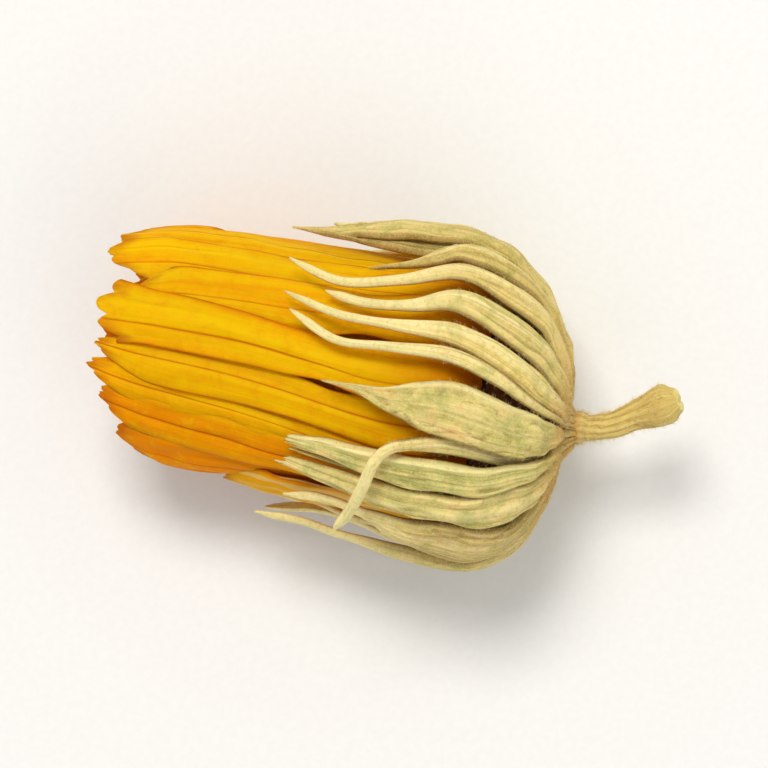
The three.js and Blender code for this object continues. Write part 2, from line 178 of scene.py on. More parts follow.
@dataclass(frozen=True)
class HeadSpace:
    """Turns head space into millimetres, with the head's bent axis and its flattened section.

    The axis runs from its seat against x. It shifts to +y over side_run, and before stem_run, where the
    bracts' feet reach the stem, it has already shifted to the same side. It droops over droop_run. The
    section is lower than it is wide, above and below, and its underside is pressed flat.
    """

    seat: tuple[float, float, float] = (9.163434, -0.993763, 6.683529)
    side_shift: float = 1.05
    side_run: Run = (0.5, 7.0)
    stem_shift: float = 0.45
    stem_run: Run = (-0.4, 1.8)
    droop: float = 1.6
    droop_run: Run = (7.0, 20.0)
    top_height: float = 0.94
    underside_height: float = 0.93
    underside_flat: float = 0.84
    flat_sharpness: float = 12.0
    three_dents: float = 0.016
    five_dents: float = 0.01
    dent_run: Run = (1.0, 5.0)
    swirl: float = 0.03
    swirl_run: Run = (2.0, 8.0)

    def reach(self, s: Array, azimuth: Array) -> Array:
        """How far the section reaches, as a share of a round one, with the dents that drying leaves.

        Args:
            s: Places along the head.
            azimuth: Angles about the axis, in radians.

        Returns:
            The share at each place.
        """
        side, rise = np.cos(azimuth), np.sin(azimuth)
        height = np.where(rise > 0, self.top_height, self.underside_height)
        rounded = np.hypot(side, rise / height)
        flat = np.where(rise < 0, -rise / self.underside_flat, 0.0)
        reach = (rounded**self.flat_sharpness + flat**self.flat_sharpness) ** (-1 / self.flat_sharpness)
        dents = self.three_dents * np.sin(3 * azimuth + 0.9 + 0.22 * s)
        dents = dents + self.five_dents * np.sin(5 * azimuth - 0.35 * s)
        return reach * (1 + dents * eased(s, *self.dent_run))

    def place(self, s: Array, r: Array, azimuth: Array) -> Array:
        """Places points of head space.

        Args:
            s: How far along the head.
            r: How far from its axis.
            azimuth: The angle about it, in radians.

        Returns:
            One row of x, y and z in millimetres for each point.
        """
        twisted = azimuth + self.swirl * np.sin(0.45 * s + 2 * azimuth) * eased(s, *self.swirl_run)
        out = r * self.reach(s, twisted)
        shift = self.side_shift * eased(s, *self.side_run) + self.stem_shift * (1 - eased(s, *self.stem_run))
        x = self.seat[0] - s
        y = self.seat[1] + shift + out * np.cos(twisted)
        z = self.seat[2] + out * np.sin(twisted) - self.droop * eased(s, *self.droop_run)
        return np.stack([x, y, z], axis=-1)


HEAD = HeadSpace()


def settled(points: Array, give: float = 0.3) -> Array:
    """Presses what would sink into the floor gently back above it.

    Args:
        points: Points in millimetres.
        give: Up to what height the floor is felt.

    Returns:
        The points, none of them below the floor.
    """
    pressed = points.copy()
    low = points[:, 2] < give
    pressed[low, 2] = give * np.exp((points[low, 2] - give) / give)
    return pressed


@dataclass(frozen=True)
class Way:
    """A smooth curve through points, read from 0 at the first to 1 at the last."""

    points: tuple[tuple[float, float, float], ...]

    def at(self, t: Array) -> Array:
        """Reads points of the curve.

        Args:
            t: Places along it. It goes on a little past both ends.

        Returns:
            One row for each place.
        """
        points = np.array(self.points)
        ghosts = np.vstack([2 * points[0] - points[1], points, 2 * points[-1] - points[-2]])
        place = np.asarray(t, float) * (len(points) - 1)
        first = np.clip(np.floor(place).astype(int), 0, len(points) - 2)
        w = (place - first)[..., None]
        a, b, c, d = (ghosts[first + i] for i in range(4))
        start, end = (c - a) / 2, (d - b) / 2
        cubed, squared = 2 * b - 2 * c + start + end, -3 * b + 3 * c - 2 * start - end
        return cubed * w**3 + squared * w**2 + start * w + b

    def heading(self, t: Array) -> Array:
        """Finds which way the curve runs.

        Args:
            t: Places along it.

        Returns:
            The direction at each place, as a row of length 1.
        """
        nudge = 1e-4
        place = np.clip(t, -0.1, 1.1)
        return unit(self.at(place + nudge) - self.at(place - nudge))


# ----------------------------------------------------------------------------------------- finishes


class Bench:
    """Lays out the nodes of one material."""

    # The colour inputs and the colour output of a Mix node, which share their names with its number sockets.
    MIX_FIRST, MIX_SECOND, MIX_RESULT = 6, 7, 2

    def __init__(self, name: str) -> None:
        """Starts the material with its shader and its output.

        Args:
            name: The material's name.
        """
        self.material = bpy.data.materials.new(name)
        self.material.use_nodes = True
        self.tree = self.material.node_tree
        self.tree.nodes.clear()
        self.shader = self.tree.nodes.new("ShaderNodeBsdfPrincipled")
        output = self.tree.nodes.new("ShaderNodeOutputMaterial")
        self.tree.links.new(self.shader.outputs["BSDF"], output.inputs["Surface"])

    def _feed(self, socket: Socket, value: Socket | float | Colour) -> None:
        """Links a socket or sets its value.

        Args:
            socket: The input to feed.
            value: What it takes: another node's output, a number or a colour.
        """
        if isinstance(value, bpy.types.NodeSocket):
            self.tree.links.new(value, socket)
        else:
            socket.default_value = value

    def blade(self) -> tuple[Socket, Socket, Socket]:
        """Reads the map that runs across and along a blade.

        Returns:
            The map's vector, how far across it is and how far along, each from 0 to 1.
        """
        node = self.tree.nodes.new("ShaderNodeUVMap")
        node.uv_map = "blade"
        split = self.tree.nodes.new("ShaderNodeSeparateXYZ")
        self.tree.links.new(node.outputs["UV"], split.inputs[0])
        return node.outputs["UV"], split.outputs["X"], split.outputs["Y"]

    def edge(self, across: Socket) -> Socket:
        """Turns how far across a blade a point is into how near an edge it is, from 0 to 1."""
        return self.sum("ABSOLUTE", self.sum("MULTIPLY_ADD", across, 2.0, -1.0))

    def place(self) -> Socket:
        """Reads where a point is on the flower, in metres."""
        return self.tree.nodes.new("ShaderNodeTexCoord").outputs["Object"]

    def mark(self, name: str) -> Socket:
        """Reads a number that the mesh carries at each of its points.

        Args:
            name: The number's name.

        Returns:
            The number.
        """
        node = self.tree.nodes.new("ShaderNodeAttribute")
        node.attribute_name = name
        return node.outputs["Fac"]

    def noise(
        self,
        vector: Socket,
        stretch: float | tuple[float, float, float],
        w: Socket | float = 0.0,
        detail: float = 3.0,
        rough: float = 0.55,
        twist: float = 0.0,
    ) -> Socket:
        """Makes a cloudy pattern.

        Args:
            vector: The coordinates that it follows.
            stretch: How many patches it has along them, one number for all three or one for each.
            w: Tells one piece's pattern from another's.
            detail: How many finer patterns lie on it.
            rough: How strong they are.
            twist: How far it is warped.

        Returns:
            The pattern, from 0 to 1.
        """
        mapping = self.tree.nodes.new("ShaderNodeMapping")
        mapping.inputs["Scale"].default_value = stretch if isinstance(stretch, tuple) else (stretch,) * 3
        self.tree.links.new(vector, mapping.inputs["Vector"])
        node = self.tree.nodes.new("ShaderNodeTexNoise")
        node.noise_dimensions = "4D"
        node.inputs["Scale"].default_value = 1.0
        node.inputs["Detail"].default_value = detail
        node.inputs["Roughness"].default_value = rough
        node.inputs["Distortion"].default_value = twist
        self._feed(node.inputs["W"], w)
        self.tree.links.new(mapping.outputs["Vector"], node.inputs["Vector"])
        return node.outputs["Fac"]

    def sum(
        self, kind: str, first: Socket | float, second: Socket | float = 0.0, third: Socket | float = 0.0
    ) -> Socket:
        """Works out one number from others.

        Args:
            kind: The sum to do, as the Math node names it.
            first: Its first number.
            second: Its second number.
            third: Its third number, where it has one.

        Returns:
            The result.
        """
        node = self.tree.nodes.new("ShaderNodeMath")
        node.operation = kind
        for socket, value in zip(node.inputs, (first, second, third)):
            self._feed(socket, value)
        return node.outputs[0]

    def rise(self, value: Socket, low: float, high: float, least: float = 0.0, most: float = 1.0) -> Socket:
        """Maps a stretch of one number to another, smoothly.

        Args:
            value: The number.
            low: Where the stretch starts.
            high: Where it ends.
            least: The result at its start and before it.
            most: The result at its end and after it.

        Returns:
            The result.
        """
        node = self.tree.nodes.new("ShaderNodeMapRange")
        node.interpolation_type = "SMOOTHSTEP"
        for name, number in (("From Min", low), ("From Max", high), ("To Min", least), ("To Max", most)):
            node.inputs[name].default_value = number
        self.tree.links.new(value, node.inputs["Value"])
        return node.outputs["Result"]

    def ramp(self, value: Socket, stops: list[tuple[float, Colour]]) -> Socket:
        """Turns a number into a colour.

        Args:
            value: The number, from 0 to 1.
            stops: Each colour and the number that it stands at.

        Returns:
            The colour.
        """
        node = self.tree.nodes.new("ShaderNodeValToRGB")
        node.color_ramp.interpolation = "EASE"
        elements = node.color_ramp.elements
        while len(elements) < len(stops):
            elements.new(0.5)
        for element, (position, colour) in zip(elements, stops):
            element.position, element.color = position, colour
        self.tree.links.new(value, node.inputs["Fac"])
        return node.outputs["Color"]

    def mix(self, share: Socket | float, first: Socket | Colour, second: Socket | Colour) -> Socket:
        """Lays one colour over another.

        Args:
            share: How much of the second shows.
            first: The colour beneath.
            second: The colour on top.

        Returns:
            The blended colour.
        """
        node = self.tree.nodes.new("ShaderNodeMix")
        node.data_type = "RGBA"
        self._feed(node.inputs["Factor"], share)
        self._feed(node.inputs[self.MIX_FIRST], first)
        self._feed(node.inputs[self.MIX_SECOND], second)
        return node.outputs[self.MIX_RESULT]

    def coats(self, colour: Socket, *coats: tuple[Socket, float, float, float, float, Colour]) -> Socket:
        """Lays coats of colour over one another, each as strong as a number makes it.

        Args:
            colour: The colour beneath them all.
            *coats: For each coat its number, where the number's stretch starts and ends, how much of the coat
                shows at the stretch's start and at its end, and its colour.

        Returns:
            The colour with all its coats.
        """
        for value, low, high, least, most, tint in coats:
            colour = self.mix(self.rise(value, low, high, least, most), colour, tint)
        return colour

    def bump(self, height: Socket, depth: float, under: Socket | None = None) -> Socket:
        """Gives the surface a fine relief.

        Args:
            height: The relief, from 0 to 1.
            depth: How deep it is, in millimetres.
            under: A coarser relief that it lies on.

        Returns:
            The direction that the surface then faces.
        """
        node = self.tree.nodes.new("ShaderNodeBump")
        node.inputs["Strength"].default_value = 1.0
        node.inputs["Distance"].default_value = depth * MM
        self.tree.links.new(height, node.inputs["Height"])
        if under is not None:
            self.tree.links.new(under, node.inputs["Normal"])
        return node.outputs["Normal"]

    def finish(
        self, colour: Socket, rough: Socket | float, normal: Socket, **fixed: float | tuple[float, ...]
    ) -> bpy.types.Material:
        """Joins the parts of the finish to its shader.

        Args:
            colour: Its colour.
            rough: Its roughness.
            normal: Its relief.
            **fixed: Shader inputs that are the same all over, with _ for a space.

        Returns:
            The finished material.
        """
        self._feed(self.shader.inputs["Base Color"], colour)
        self._feed(self.shader.inputs["Roughness"], rough)
        self.tree.links.new(normal, self.shader.inputs["Normal"])
        for name, value in fixed.items():
            self.shader.inputs[name.replace("_", " ")].default_value = value
        return self.material


@dataclass(frozen=True)
class PetalFinish:
    """Dried petal: satin yellow with faint lengthwise veins and browned at its edges, with painted shade in
    amber and deep orange in its hollows, along its edges and towards its foot.
    """

    name: str = "petal_gold"
    bright: Colour = paint(246, 194, 0)
    gold: Colour = paint(240, 178, 0)
    deep: Colour = paint(238, 156, 0)
    amber: Colour = paint(222, 122, 0)
    # Painted shade: the deep orange of the hollows, creases and edge lines, and of the foot among the bracts.
    crease: Colour = paint(186, 88, 0)
    burnt: Colour = paint(150, 78, 12)
    cream: Colour = paint(238, 208, 134)

    def make(self) -> bpy.types.Material:
        """Makes the material, which reads the marks orange, valley, pale and seed.

        Returns:
            The material.
        """
        b = Bench(self.name)
        uv, across, along = b.blade()
        seed = b.sum("MULTIPLY", b.mark("seed"), 40.0)
        bands = b.noise(uv, (2.6, 0.9, 1.0), seed, detail=2.5, rough=0.5)
        streaks = b.noise(uv, (11.0, 1.0, 1.0), seed, detail=3.0, rough=0.6, twist=0.15)
        veins = b.noise(uv, (52.0, 1.6, 1.0), seed, detail=2.0, rough=0.6)
        blotches = b.noise(uv, (3.0, 6.0, 1.0), seed, detail=5.0, rough=0.62)
        mottle = b.noise(b.place(), 1500.0, seed, detail=4.0, rough=0.65, twist=0.5)
        grain = b.noise(b.place(), 9000.0, detail=2.0)
        edge = b.edge(across)

        colour = b.ramp(bands, [(0.3, self.deep), (0.46, self.gold), (0.68, self.bright)])
        # Orange streaks and the orange mark: partly the petal's own tone, partly painted shade on the lower
        # petals, which face away from the light.
        warm = b.sum("ADD", b.rise(streaks, 0.36, 0.66, -0.08, 0.12), b.mark("orange"))
        colour = b.coats(
            colour,
            (warm, 0.0, 1.0, 0.0, 0.95, self.amber),
            # Painted shade: amber towards both edges, where the rounded petal turns away from the light.
            (edge, 0.62, 1.0, 0.0, 0.4, self.amber),
            (mottle, 0.48, 0.72, 0.0, 0.3, self.amber),
            (mottle, 0.32, 0.48, 0.25, 0.0, self.bright),
            (veins, 0.52, 0.74, 0.0, 0.12, self.amber),
            (veins, 0.26, 0.44, 0.1, 0.0, self.bright),
            # Painted shade in deep orange in the hollows, in the creases and along the edges.
            (b.mark("valley_shade"), 0.15, 0.9, 0.0, 0.85, self.crease),
            # Painted shade: amber and deep orange towards the foot, deep among the bracts.
            (along, 0.5, 0.2, 0.0, 0.45, self.amber),
            (along, 0.3, 0.05, 0.0, 0.6, self.crease),
        )
        worn = b.sum("MULTIPLY", b.rise(edge, 0.88, 1.0), b.rise(blotches, 0.42, 0.66))
        tipped = b.sum("MULTIPLY", b.rise(along, 0.94, 1.0), b.rise(blotches, 0.3, 0.6))
        colour = b.mix(b.sum("MULTIPLY", b.sum("MAXIMUM", worn, tipped), 0.7), colour, self.burnt)
        washed = b.sum("MULTIPLY", b.rise(streaks, 0.5, 0.6), b.mark("pale"))
        colour = b.mix(b.sum("MULTIPLY", washed, 0.8), colour, self.cream)

        rough = b.rise(bands, 0.25, 0.75, 0.66, 0.52)
        normal = b.bump(grain, 0.004, b.bump(veins, 0.01))
        return b.finish(
            colour,
            rough,
            normal,
            Specular_IOR_Level=0.04,
            Subsurface_Weight=0.5,
            Subsurface_Radius=(1.0, 0.35, 0.02),
            Subsurface_Scale=0.0007,
        )


@dataclass(frozen=True)
class BractFinish:
    """Dried bract: downy straw, green in places and tan at its foot, with cream on ridges, rolled margins and
    threads that is partly their own paleness and partly painted highlight, and painted shade in olive in its
    creases and along its edges.
    """

    name: str = "bract_straw"
    cream: Colour = paint(255, 238, 172)
    pale: Colour = paint(242, 217, 136)
    straw: Colour = paint(222, 190, 102)
    green: Colour = paint(178, 186, 108)
    olive: Colour = paint(136, 104, 36)
    tan: Colour = paint(222, 172, 94)
    brown: Colour = paint(136, 92, 26)

    def make(self) -> bpy.types.Material:
        """Makes the material, which reads the marks green, brown, ridge, rim and seed.

        Returns:
            The material.
        """
        b = Bench(self.name)
        uv, across, along = b.blade()
        seed = b.sum("MULTIPLY", b.mark("seed"), 40.0)
        stripes = b.noise(uv, (4.5, 1.4, 1.0), seed, detail=2.5, rough=0.55, twist=0.2)
        fibres = b.noise(uv, (30.0, 6.0, 1.0), seed, detail=4.0, rough=0.65, twist=0.5)
        clouds = b.noise(b.place(), 900.0, seed, detail=4.0, rough=0.6, twist=0.4)
        strands = b.noise(uv, (14.0, 1.6, 1.0), seed, detail=3.0, rough=0.6, twist=0.6)
        speckle = b.noise(b.place(), 4200.0, detail=3.0, rough=0.65)
        down = b.noise(b.place(), 11000.0, detail=3.0, rough=0.7)
        edge = b.edge(across)

        lines = b.sum("MULTIPLY_ADD", strands, 0.3, b.sum("MULTIPLY", stripes, 0.3))
        tone = b.sum("MULTIPLY_ADD", clouds, 0.4, lines)
        base = b.ramp(tone, [(0.4, self.straw), (0.5, self.pale), (0.58, self.cream)])
        leaf = b.ramp(tone, [(0.4, self.olive), (0.47, self.green), (0.58, self.pale)])
        colour = b.mix(b.mark("green"), base, leaf)
        colour = b.coats(
            colour,
            # The ridge mark: cream on ridges and olive in creases, partly the paler midrib and threads,
            # partly painted highlight on ridges and painted shade in creases.
            (b.mark("ridge"), 0.55, 1.0, 0.0, 0.6, self.cream),
            (b.mark("ridge"), 0.36, 0.05, 0.0, 0.6, self.olive),
            (strands, 0.53, 0.66, 0.0, 0.45, self.olive),
            (fibres, 0.54, 0.72, 0.0, 0.3, self.olive),
            (fibres, 0.3, 0.46, 0.4, 0.0, self.cream),
            (clouds, 0.49, 0.36, 0.0, 0.4, self.green),
            (clouds, 0.53, 0.68, 0.0, 0.45, self.tan),
        )
        foot = b.sum("MULTIPLY", b.rise(along, 0.36, 0.08), b.rise(clouds, 0.25, 0.6, 0.4, 0.85))
        colour = b.mix(foot, colour, self.tan)
        # Painted shade: olive along the edges, where bracts meet, except on a rolled margin.
        margin = b.sum("MULTIPLY", b.rise(edge, 0.86, 1.0), b.rise(b.mark("rim"), 1.0, 0.0, 0.0, 0.6))
        colour = b.mix(margin, colour, self.olive)
        # Cream on rolled margins and threads: partly their own paleness, partly painted highlight where a
        # rolled margin catches the light.
        pale_and_highlit = b.sum("MULTIPLY", b.mark("rim"), b.rise(fibres, 0.25, 0.6, 0.95, 0.6))
        colour = b.mix(pale_and_highlit, colour, self.cream)
        dead = b.sum("MULTIPLY", b.rise(strands, 0.38, 0.58, 0.4, 1.5), b.mark("brown"))
        colour = b.mix(dead, colour, self.brown)
        colour = b.coats(
            colour,
            (speckle, 0.5, 0.68, 0.0, 0.22, self.olive),
            (down, 0.45, 0.7, 0.0, 0.3, self.cream),
        )

        rough = b.rise(fibres, 0.2, 0.8, 0.92, 0.78)
        normal = b.bump(down, 0.02, b.bump(speckle, 0.03, b.bump(fibres, 0.035)))
        return b.finish(
            colour,
            rough,
            normal,
            Specular_IOR_Level=0.05,
            Sheen_Weight=0.05,
            Sheen_Roughness=0.5,
            Sheen_Tint=self.cream,
            Subsurface_Weight=0.3,
            Subsurface_Radius=(1.0, 0.6, 0.15),
            Subsurface_Scale=0.0005,
        )


@dataclass(frozen=True)
class StemFinish:
    """Dried stem: straw with paler ribs, green left between them and a pithy cut."""

    name: str = "stem_straw"
    straw: Colour = paint(206, 174, 92)
    rib: Colour = paint(238, 218, 138)
    green: Colour = paint(176, 146, 70)
    brown: Colour = paint(150, 104, 48)
    blush: Colour = paint(210, 160, 96)

    def make(self) -> bpy.types.Material:
        """Makes the material, which reads the marks ridge and pith.

        Returns:
            The material.
        """
        b = Bench(self.name)
        uv, _, along = b.blade()
        fibres = b.noise(uv, (46.0, 4.0, 1.0), detail=4.0, rough=0.65, twist=0.3)
        blotches = b.noise(b.place(), 1300.0, detail=5.0, rough=0.6)
        down = b.noise(b.place(), 12000.0, detail=3.0, rough=0.7)
        colour = b.ramp(fibres, [(0.3, self.green), (0.5, self.straw), (0.7, self.rib)])
        colour = b.coats(
            colour,
            (b.mark("ridge"), 0.5, 1.0, 0.0, 0.6, self.rib),
            (b.mark("ridge"), 0.4, 0.0, 0.0, 0.45, self.green),
            (blotches, 0.55, 0.72, 0.0, 0.45, self.brown),
        )
        colour = b.mix(b.mark("pith"), colour, self.rib)
        colour = b.coats(
            colour,
            (along, 0.34, 0.1, 0.0, 0.45, self.blush),
            (along, 0.14, 0.0, 0.0, 0.4, self.brown),
        )
        normal = b.bump(down, 0.03, b.bump(fibres, 0.05))
        return b.finish(
            colour,
            b.rise(fibres, 0.2, 0.8, 0.9, 0.76),
            normal,
            Specular_IOR_Level=0.15,
            Sheen_Weight=0.12,
            Sheen_Roughness=0.5,
            Sheen_Tint=self.rib,
        )


@dataclass(frozen=True)
class CoreFinish:
    """The inside of the head: spongy tissue that is darker where it is pitted."""

    name: str
    light: Colour
    dark: Colour
    patch: float = 0.45

    def make(self) -> bpy.types.Material:
        """Makes the material, whose patches are about as wide as patch says, in millimetres.

        Returns:
            The material.
        """
        b = Bench(self.name)
        where = b.place()
        pits = b.noise(where, 1.0 / (self.patch * MM), detail=5.0, rough=0.65)
        down = b.noise(where, 9000.0, detail=3.0, rough=0.7)
        colour = b.ramp(pits, [(0.32, self.dark), (0.62, self.light)])
        colour = b.mix(b.rise(down, 0.5, 0.75, 0.0, 0.3), colour, self.dark)
        normal = b.bump(down, 0.03, b.bump(pits, 0.12))
        rough = b.rise(pits, 0.3, 0.7, 0.9, 0.75)
        return b.finish(colour, rough, normal, Specular_IOR_Level=0.3, Sheen_Weight=0.2)


@dataclass(frozen=True)
class DownFinish:
    """Fine pale hair."""

    name: str = "down_cream"
    root: Colour = paint(226, 200, 132)
    end: Colour = paint(252, 238, 190)

    def make(self) -> bpy.types.Material:
        """Makes the material, which reads the mark reach, from a hair's root to its end.

        Returns:
            The material.
        """
        b = Bench(self.name)
        tone = b.noise(b.place(), 2500.0, detail=2.0)
        colour = b.ramp(b.mark("reach"), [(0.0, self.root), (1.0, self.end)])
        colour = b.mix(b.rise(tone, 0.45, 0.7, 0.0, 0.35), colour, self.root)
        return b.finish(colour, 0.6, b.bump(tone, 0.005), Specular_IOR_Level=0.4)


# ------------------------------------------------------------------------------------ making pieces


def turned(outline: tuple[tuple[float, float], ...], sides: int) -> bmesh.types.BMesh:
    """Spins an outline about the upright axis into a closed shape.

    Args:
        outline: Points as distance from the axis and height, from one pole to the other.
        sides: How many facets it has round it.

    Returns:
        The shape.
    """
    bm = bmesh.new()
    verts = [bm.verts.new((r, 0, height)) for r, height in outline]
    line = [*verts, *(bm.edges.new(pair) for pair in zip(verts, verts[1:]))]
    whole = 2 * math.pi
    bmesh.ops.spin(bm, geom=line, cent=(0, 0, 0), axis=(0, 0, 1), angle=whole, steps=sides, use_merge=True)
    bmesh.ops.remove_doubles(bm, verts=bm.verts[:], dist=1e-6)
    bmesh.ops.recalc_face_normals(bm, faces=bm.faces[:])
    return bm


def upright(bm: bmesh.types.BMesh, least: float) -> list[bmesh.types.BMEdge]:
    """Finds the edges that rise by more than the least."""
    return [e for e in bm.edges if abs(e.verts[0].co.z - e.verts[1].co.z) > least]


class Piece:
    """Turns shaped points into one finished piece of the flower."""

    @staticmethod
    def mesh(bm: bmesh.types.BMesh, name: str) -> bpy.types.Mesh:
        """Turns a shape into a mesh, and lets the shape go.

        Args:
            bm: The shape.
            name: The mesh's name.

        Returns:
            The mesh.
        """
        mesh = bpy.data.meshes.new(name)
        bm.to_mesh(mesh)
        bm.free()
        return mesh

    @staticmethod
    def points(mesh: bpy.types.Mesh) -> Array:
        """Reads a mesh's points.

        Args:
            mesh: The mesh.

        Returns:
            One row of x, y and z for each point.
        """
        flat = np.empty(len(mesh.vertices) * 3)
        mesh.vertices.foreach_get("co", flat)
        return flat.reshape(-1, 3)

    @staticmethod
    def move(mesh: bpy.types.Mesh, points: Array) -> None:
        """Moves a mesh's points, given in millimetres, to their places in metres.

        Args:
            mesh: The mesh.
            points: One row for each of its points.
        """
        mesh.vertices.foreach_set("co", (settled(points) * MM).astype(np.float32).ravel())
        mesh.update()

    @staticmethod
    def map(mesh: bpy.types.Mesh, across: Array, along: Array) -> None:
        """Gives a mesh the map that its finish follows.

        Args:
            mesh: The mesh.
            across: How far across the piece each of its points is, from 0 to 1.
            along: How far along the piece.
        """
        corners = np.empty(len(mesh.loops), int)
        mesh.loops.foreach_get("vertex_index", corners)
        layer = mesh.uv_layers.new(name="blade")
        layer.data.foreach_set("uv", np.stack([across, along], axis=-1)[corners].astype(np.float32).ravel())

    @staticmethod
    def mark(mesh: bpy.types.Mesh, **marks: Array | float) -> None:
        """Writes numbers on a mesh's points for its finish to read.

        Args:
            mesh: The mesh.
            **marks: Each mark, as one number for the mesh or one for each point.
        """
        for name, value in marks.items():
            values = np.broadcast_to(value, len(mesh.vertices)).astype(np.float32).copy()
            mesh.attributes.new(name, "FLOAT", "POINT").data.foreach_set("value", values)

    @staticmethod
    def close(mesh: bpy.types.Mesh) -> None:
        """Turns a closed mesh's faces outwards and shades them smoothly.

        Args:
            mesh: The mesh.
        """
        bm = bmesh.new()
        bm.from_mesh(mesh)
        bmesh.ops.recalc_face_normals(bm, faces=bm.faces[:])
        bm.to_mesh(mesh)
        bm.free()
        mesh.shade_smooth()

    @staticmethod
    def finish(
        mesh: bpy.types.Mesh, material: bpy.types.Material, slot: str, nodes: list[str]
    ) -> bpy.types.Object:
        """Makes a mesh a piece of the flower.

        Args:
            mesh: The finished mesh, whose name the piece takes.
            material: Its finish.
            slot: Not used.
            nodes: The CAD nodes that it stands for.

        Returns:
            The piece.
        """
        piece = bpy.data.objects.new(mesh.name, mesh)
        bpy.context.scene.collection.objects.link(piece)
        mesh.materials.append(material)
        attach(piece, "root")
        if nodes:
            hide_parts(*nodes)
        log.info("%s: %d faces", piece.name, len(mesh.polygons))
        return piece


@dataclass
class Blade:
    """A thin leaf of the head that follows a way through head space. Bracts and petals give it its shape.

    The methods that give the shape read places on the leaf: t is how far along it they are, from 0 at its
    foot to 1 at its tip, and below 0 where a foot runs on over the stem. Across runs from -1 at its near
    edge, the one with the lower azimuths, to 1 at its far edge. A run is a stretch of t over which something
    changes.
    """

    name: str
    node: str
    seed: int
    way: Way
    columns: int
    steps: int
    start: float = 0.0
    SEED_STEP: ClassVar[float] = 0.618034

    def half_angle(self, t: Array) -> Array:
        """Half its width as an angle about the axis, in radians."""
        raise NotImplementedError

    def side(self, t: Array, across: Array) -> Array:
        """Its width on each side of its middle over its own, where an edge waves."""
        return np.ones_like(t)

    def edges(self, t: Array, across: Array) -> Array:
        """How far it stands out on the way from one edge to the other, in millimetres."""
        return np.zeros_like(t)

    def tip_fall(self, t: Array, across: Array) -> Array:
        """How far its tip falls back, as a share of its length."""
        return np.zeros_like(t)

    def sway(self, t: Array) -> Array:
        """How far its middle strays: s and r in millimetres and the azimuth in radians."""
        return np.zeros((*np.shape(t), 3))

    def thickness(self, t: Array, across: Array) -> Array:
        """How thick it is, in millimetres."""
        raise NotImplementedError

    def relief(self, t: Array, across: Array) -> Array:
        """How far its folds stand out, in millimetres."""
        raise NotImplementedError

    def marks(self, t: Array, across: Array) -> dict[str, Array | float]:
        """The numbers that its finish reads."""
        raise NotImplementedError

    def surface(self, t: Array, across: Array) -> Array:
        """Its plain surface, without folds or thickness.

        Args:
            t: How far along it, from 0 to 1.
            across: How far across it, from -1 to 1.

        Returns:
            One point in millimetres for each place.
        """
        at = np.clip(t - self.tip_fall(t, across), self.start - 0.01, 1.0)
        s, r, azimuth = np.moveaxis(self.way.at(at) + self.sway(at), -1, 0)
        ahead, _, turn = np.moveaxis(self.way.heading(at), -1, 0)
        turning = r * turn
        span = np.maximum(np.hypot(ahead, turning), 1e-9)
        aside = across * self.side(at, across) * r * self.half_angle(at)
        return HEAD.place(
            s - aside * turning / span,
            r + self.edges(at, across),
            azimuth + aside * ahead / span / r,
        )

    def skin(self, t: Array, across: Array, layer: Array | float) -> tuple[Array, Array]:
        """Its real surface.

        Args:
            t: How far along it.
            across: How far across it.
            layer: 0.5 on its outer face and -0.5 on its inner one.

        Returns:
            The points in millimetres, and the way that each faces.
        """
        nudge = 1e-3
        inside = np.clip(t, self.start + nudge, 1 - nudge)
        ahead = self.surface(inside + nudge, across) - self.surface(inside - nudge, across)
        sideways = self.surface(inside, across + nudge) - self.surface(inside, across - nudge)
        outward = unit(np.cross(ahead, sideways))
        rise = self.relief(t, across) + layer * self.thickness(t, across)
        return self.surface(t, across) + outward * rise[..., None], outward

    def build(self, material: bpy.types.Material, slot: str) -> bpy.types.Object:
        """Makes the blade from a flat grid that is given two faces and then laid along its way.

        Args:
            material: Its finish.
            slot: The record's slot for it.

        Returns:
            The piece.
        """
        bm = bmesh.new()
        bmesh.ops.create_grid(bm, x_segments=self.columns, y_segments=self.steps, size=1.0)
        bmesh.ops.solidify(bm, geom=bm.faces[:], thickness=1.0)
        mesh = Piece.mesh(bm, self.name)
        across, up, height = Piece.points(mesh).T
        t = self.start + (1 - self.start) * (up + 1) / 2
        points, _ = self.skin(t, across, np.sign(height - height.mean()) * 0.5)
        Piece.move(mesh, points)
        Piece.map(mesh, (across + 1) / 2, np.clip(t, 0, 1))
        Piece.mark(mesh, seed=(self.seed * self.SEED_STEP) % 1.0, **self.marks(t, across))
        Piece.close(mesh)
        return Piece.finish(mesh, material, slot, [self.node])


@dataclass
class Ring:
    """One ring of blades about the axis, which follow one profile and differ by their plans."""

    name: str
    node: str
    slot: str
    profile: tuple[tuple[float, float], ...]
    plans: tuple["BractPlan | PetalPlan", ...]
    columns: int
    steps: int
    seed: int
    blades: list[Blade] = field(default_factory=list)

    def blade(self, plan: "BractPlan | PetalPlan", **shared: str | int) -> Blade:
        """Lays out one blade.

        Args:
            plan: Its plan.
            **shared: What every kind of blade takes: its name, its node, its seed and its grid.

        Returns:
            The blade.
        """
        raise NotImplementedError

    def build(self, material: bpy.types.Material) -> list[bpy.types.Object]:
        """Builds the ring.

        Args:
            material: The finish of its blades.

        Returns:
            Its pieces.
        """
        for i, plan in enumerate(self.plans, start=1):
            name, node = f"{self.name}_{i:02d}", f"{self.node}_{i:02d}"
            grid = {"columns": self.columns, "steps": self.steps}
            self.blades.append(self.blade(plan, name=name, node=node, seed=self.seed + i, **grid))
        return [blade.build(material, self.slot) for blade in self.blades]


# ------------------------------------------------------------------------------------------- bracts


class Tip(Enum):
    """How a bract ends: where it starts to narrow, where it is at its narrowest, and how narrow that is.

    A thread has a width of its own instead, whatever the bract's is.
    """

    THREAD = (0.51, 0.8, 0.0)
    POINTED = (0.5, 1.0, 0.05)
    BROAD = (0.72, 1.0, 0.05)
    BLUNT = (0.7, 1.0, 0.5)
    DROOPING = (0.25, 0.6, 0.42)


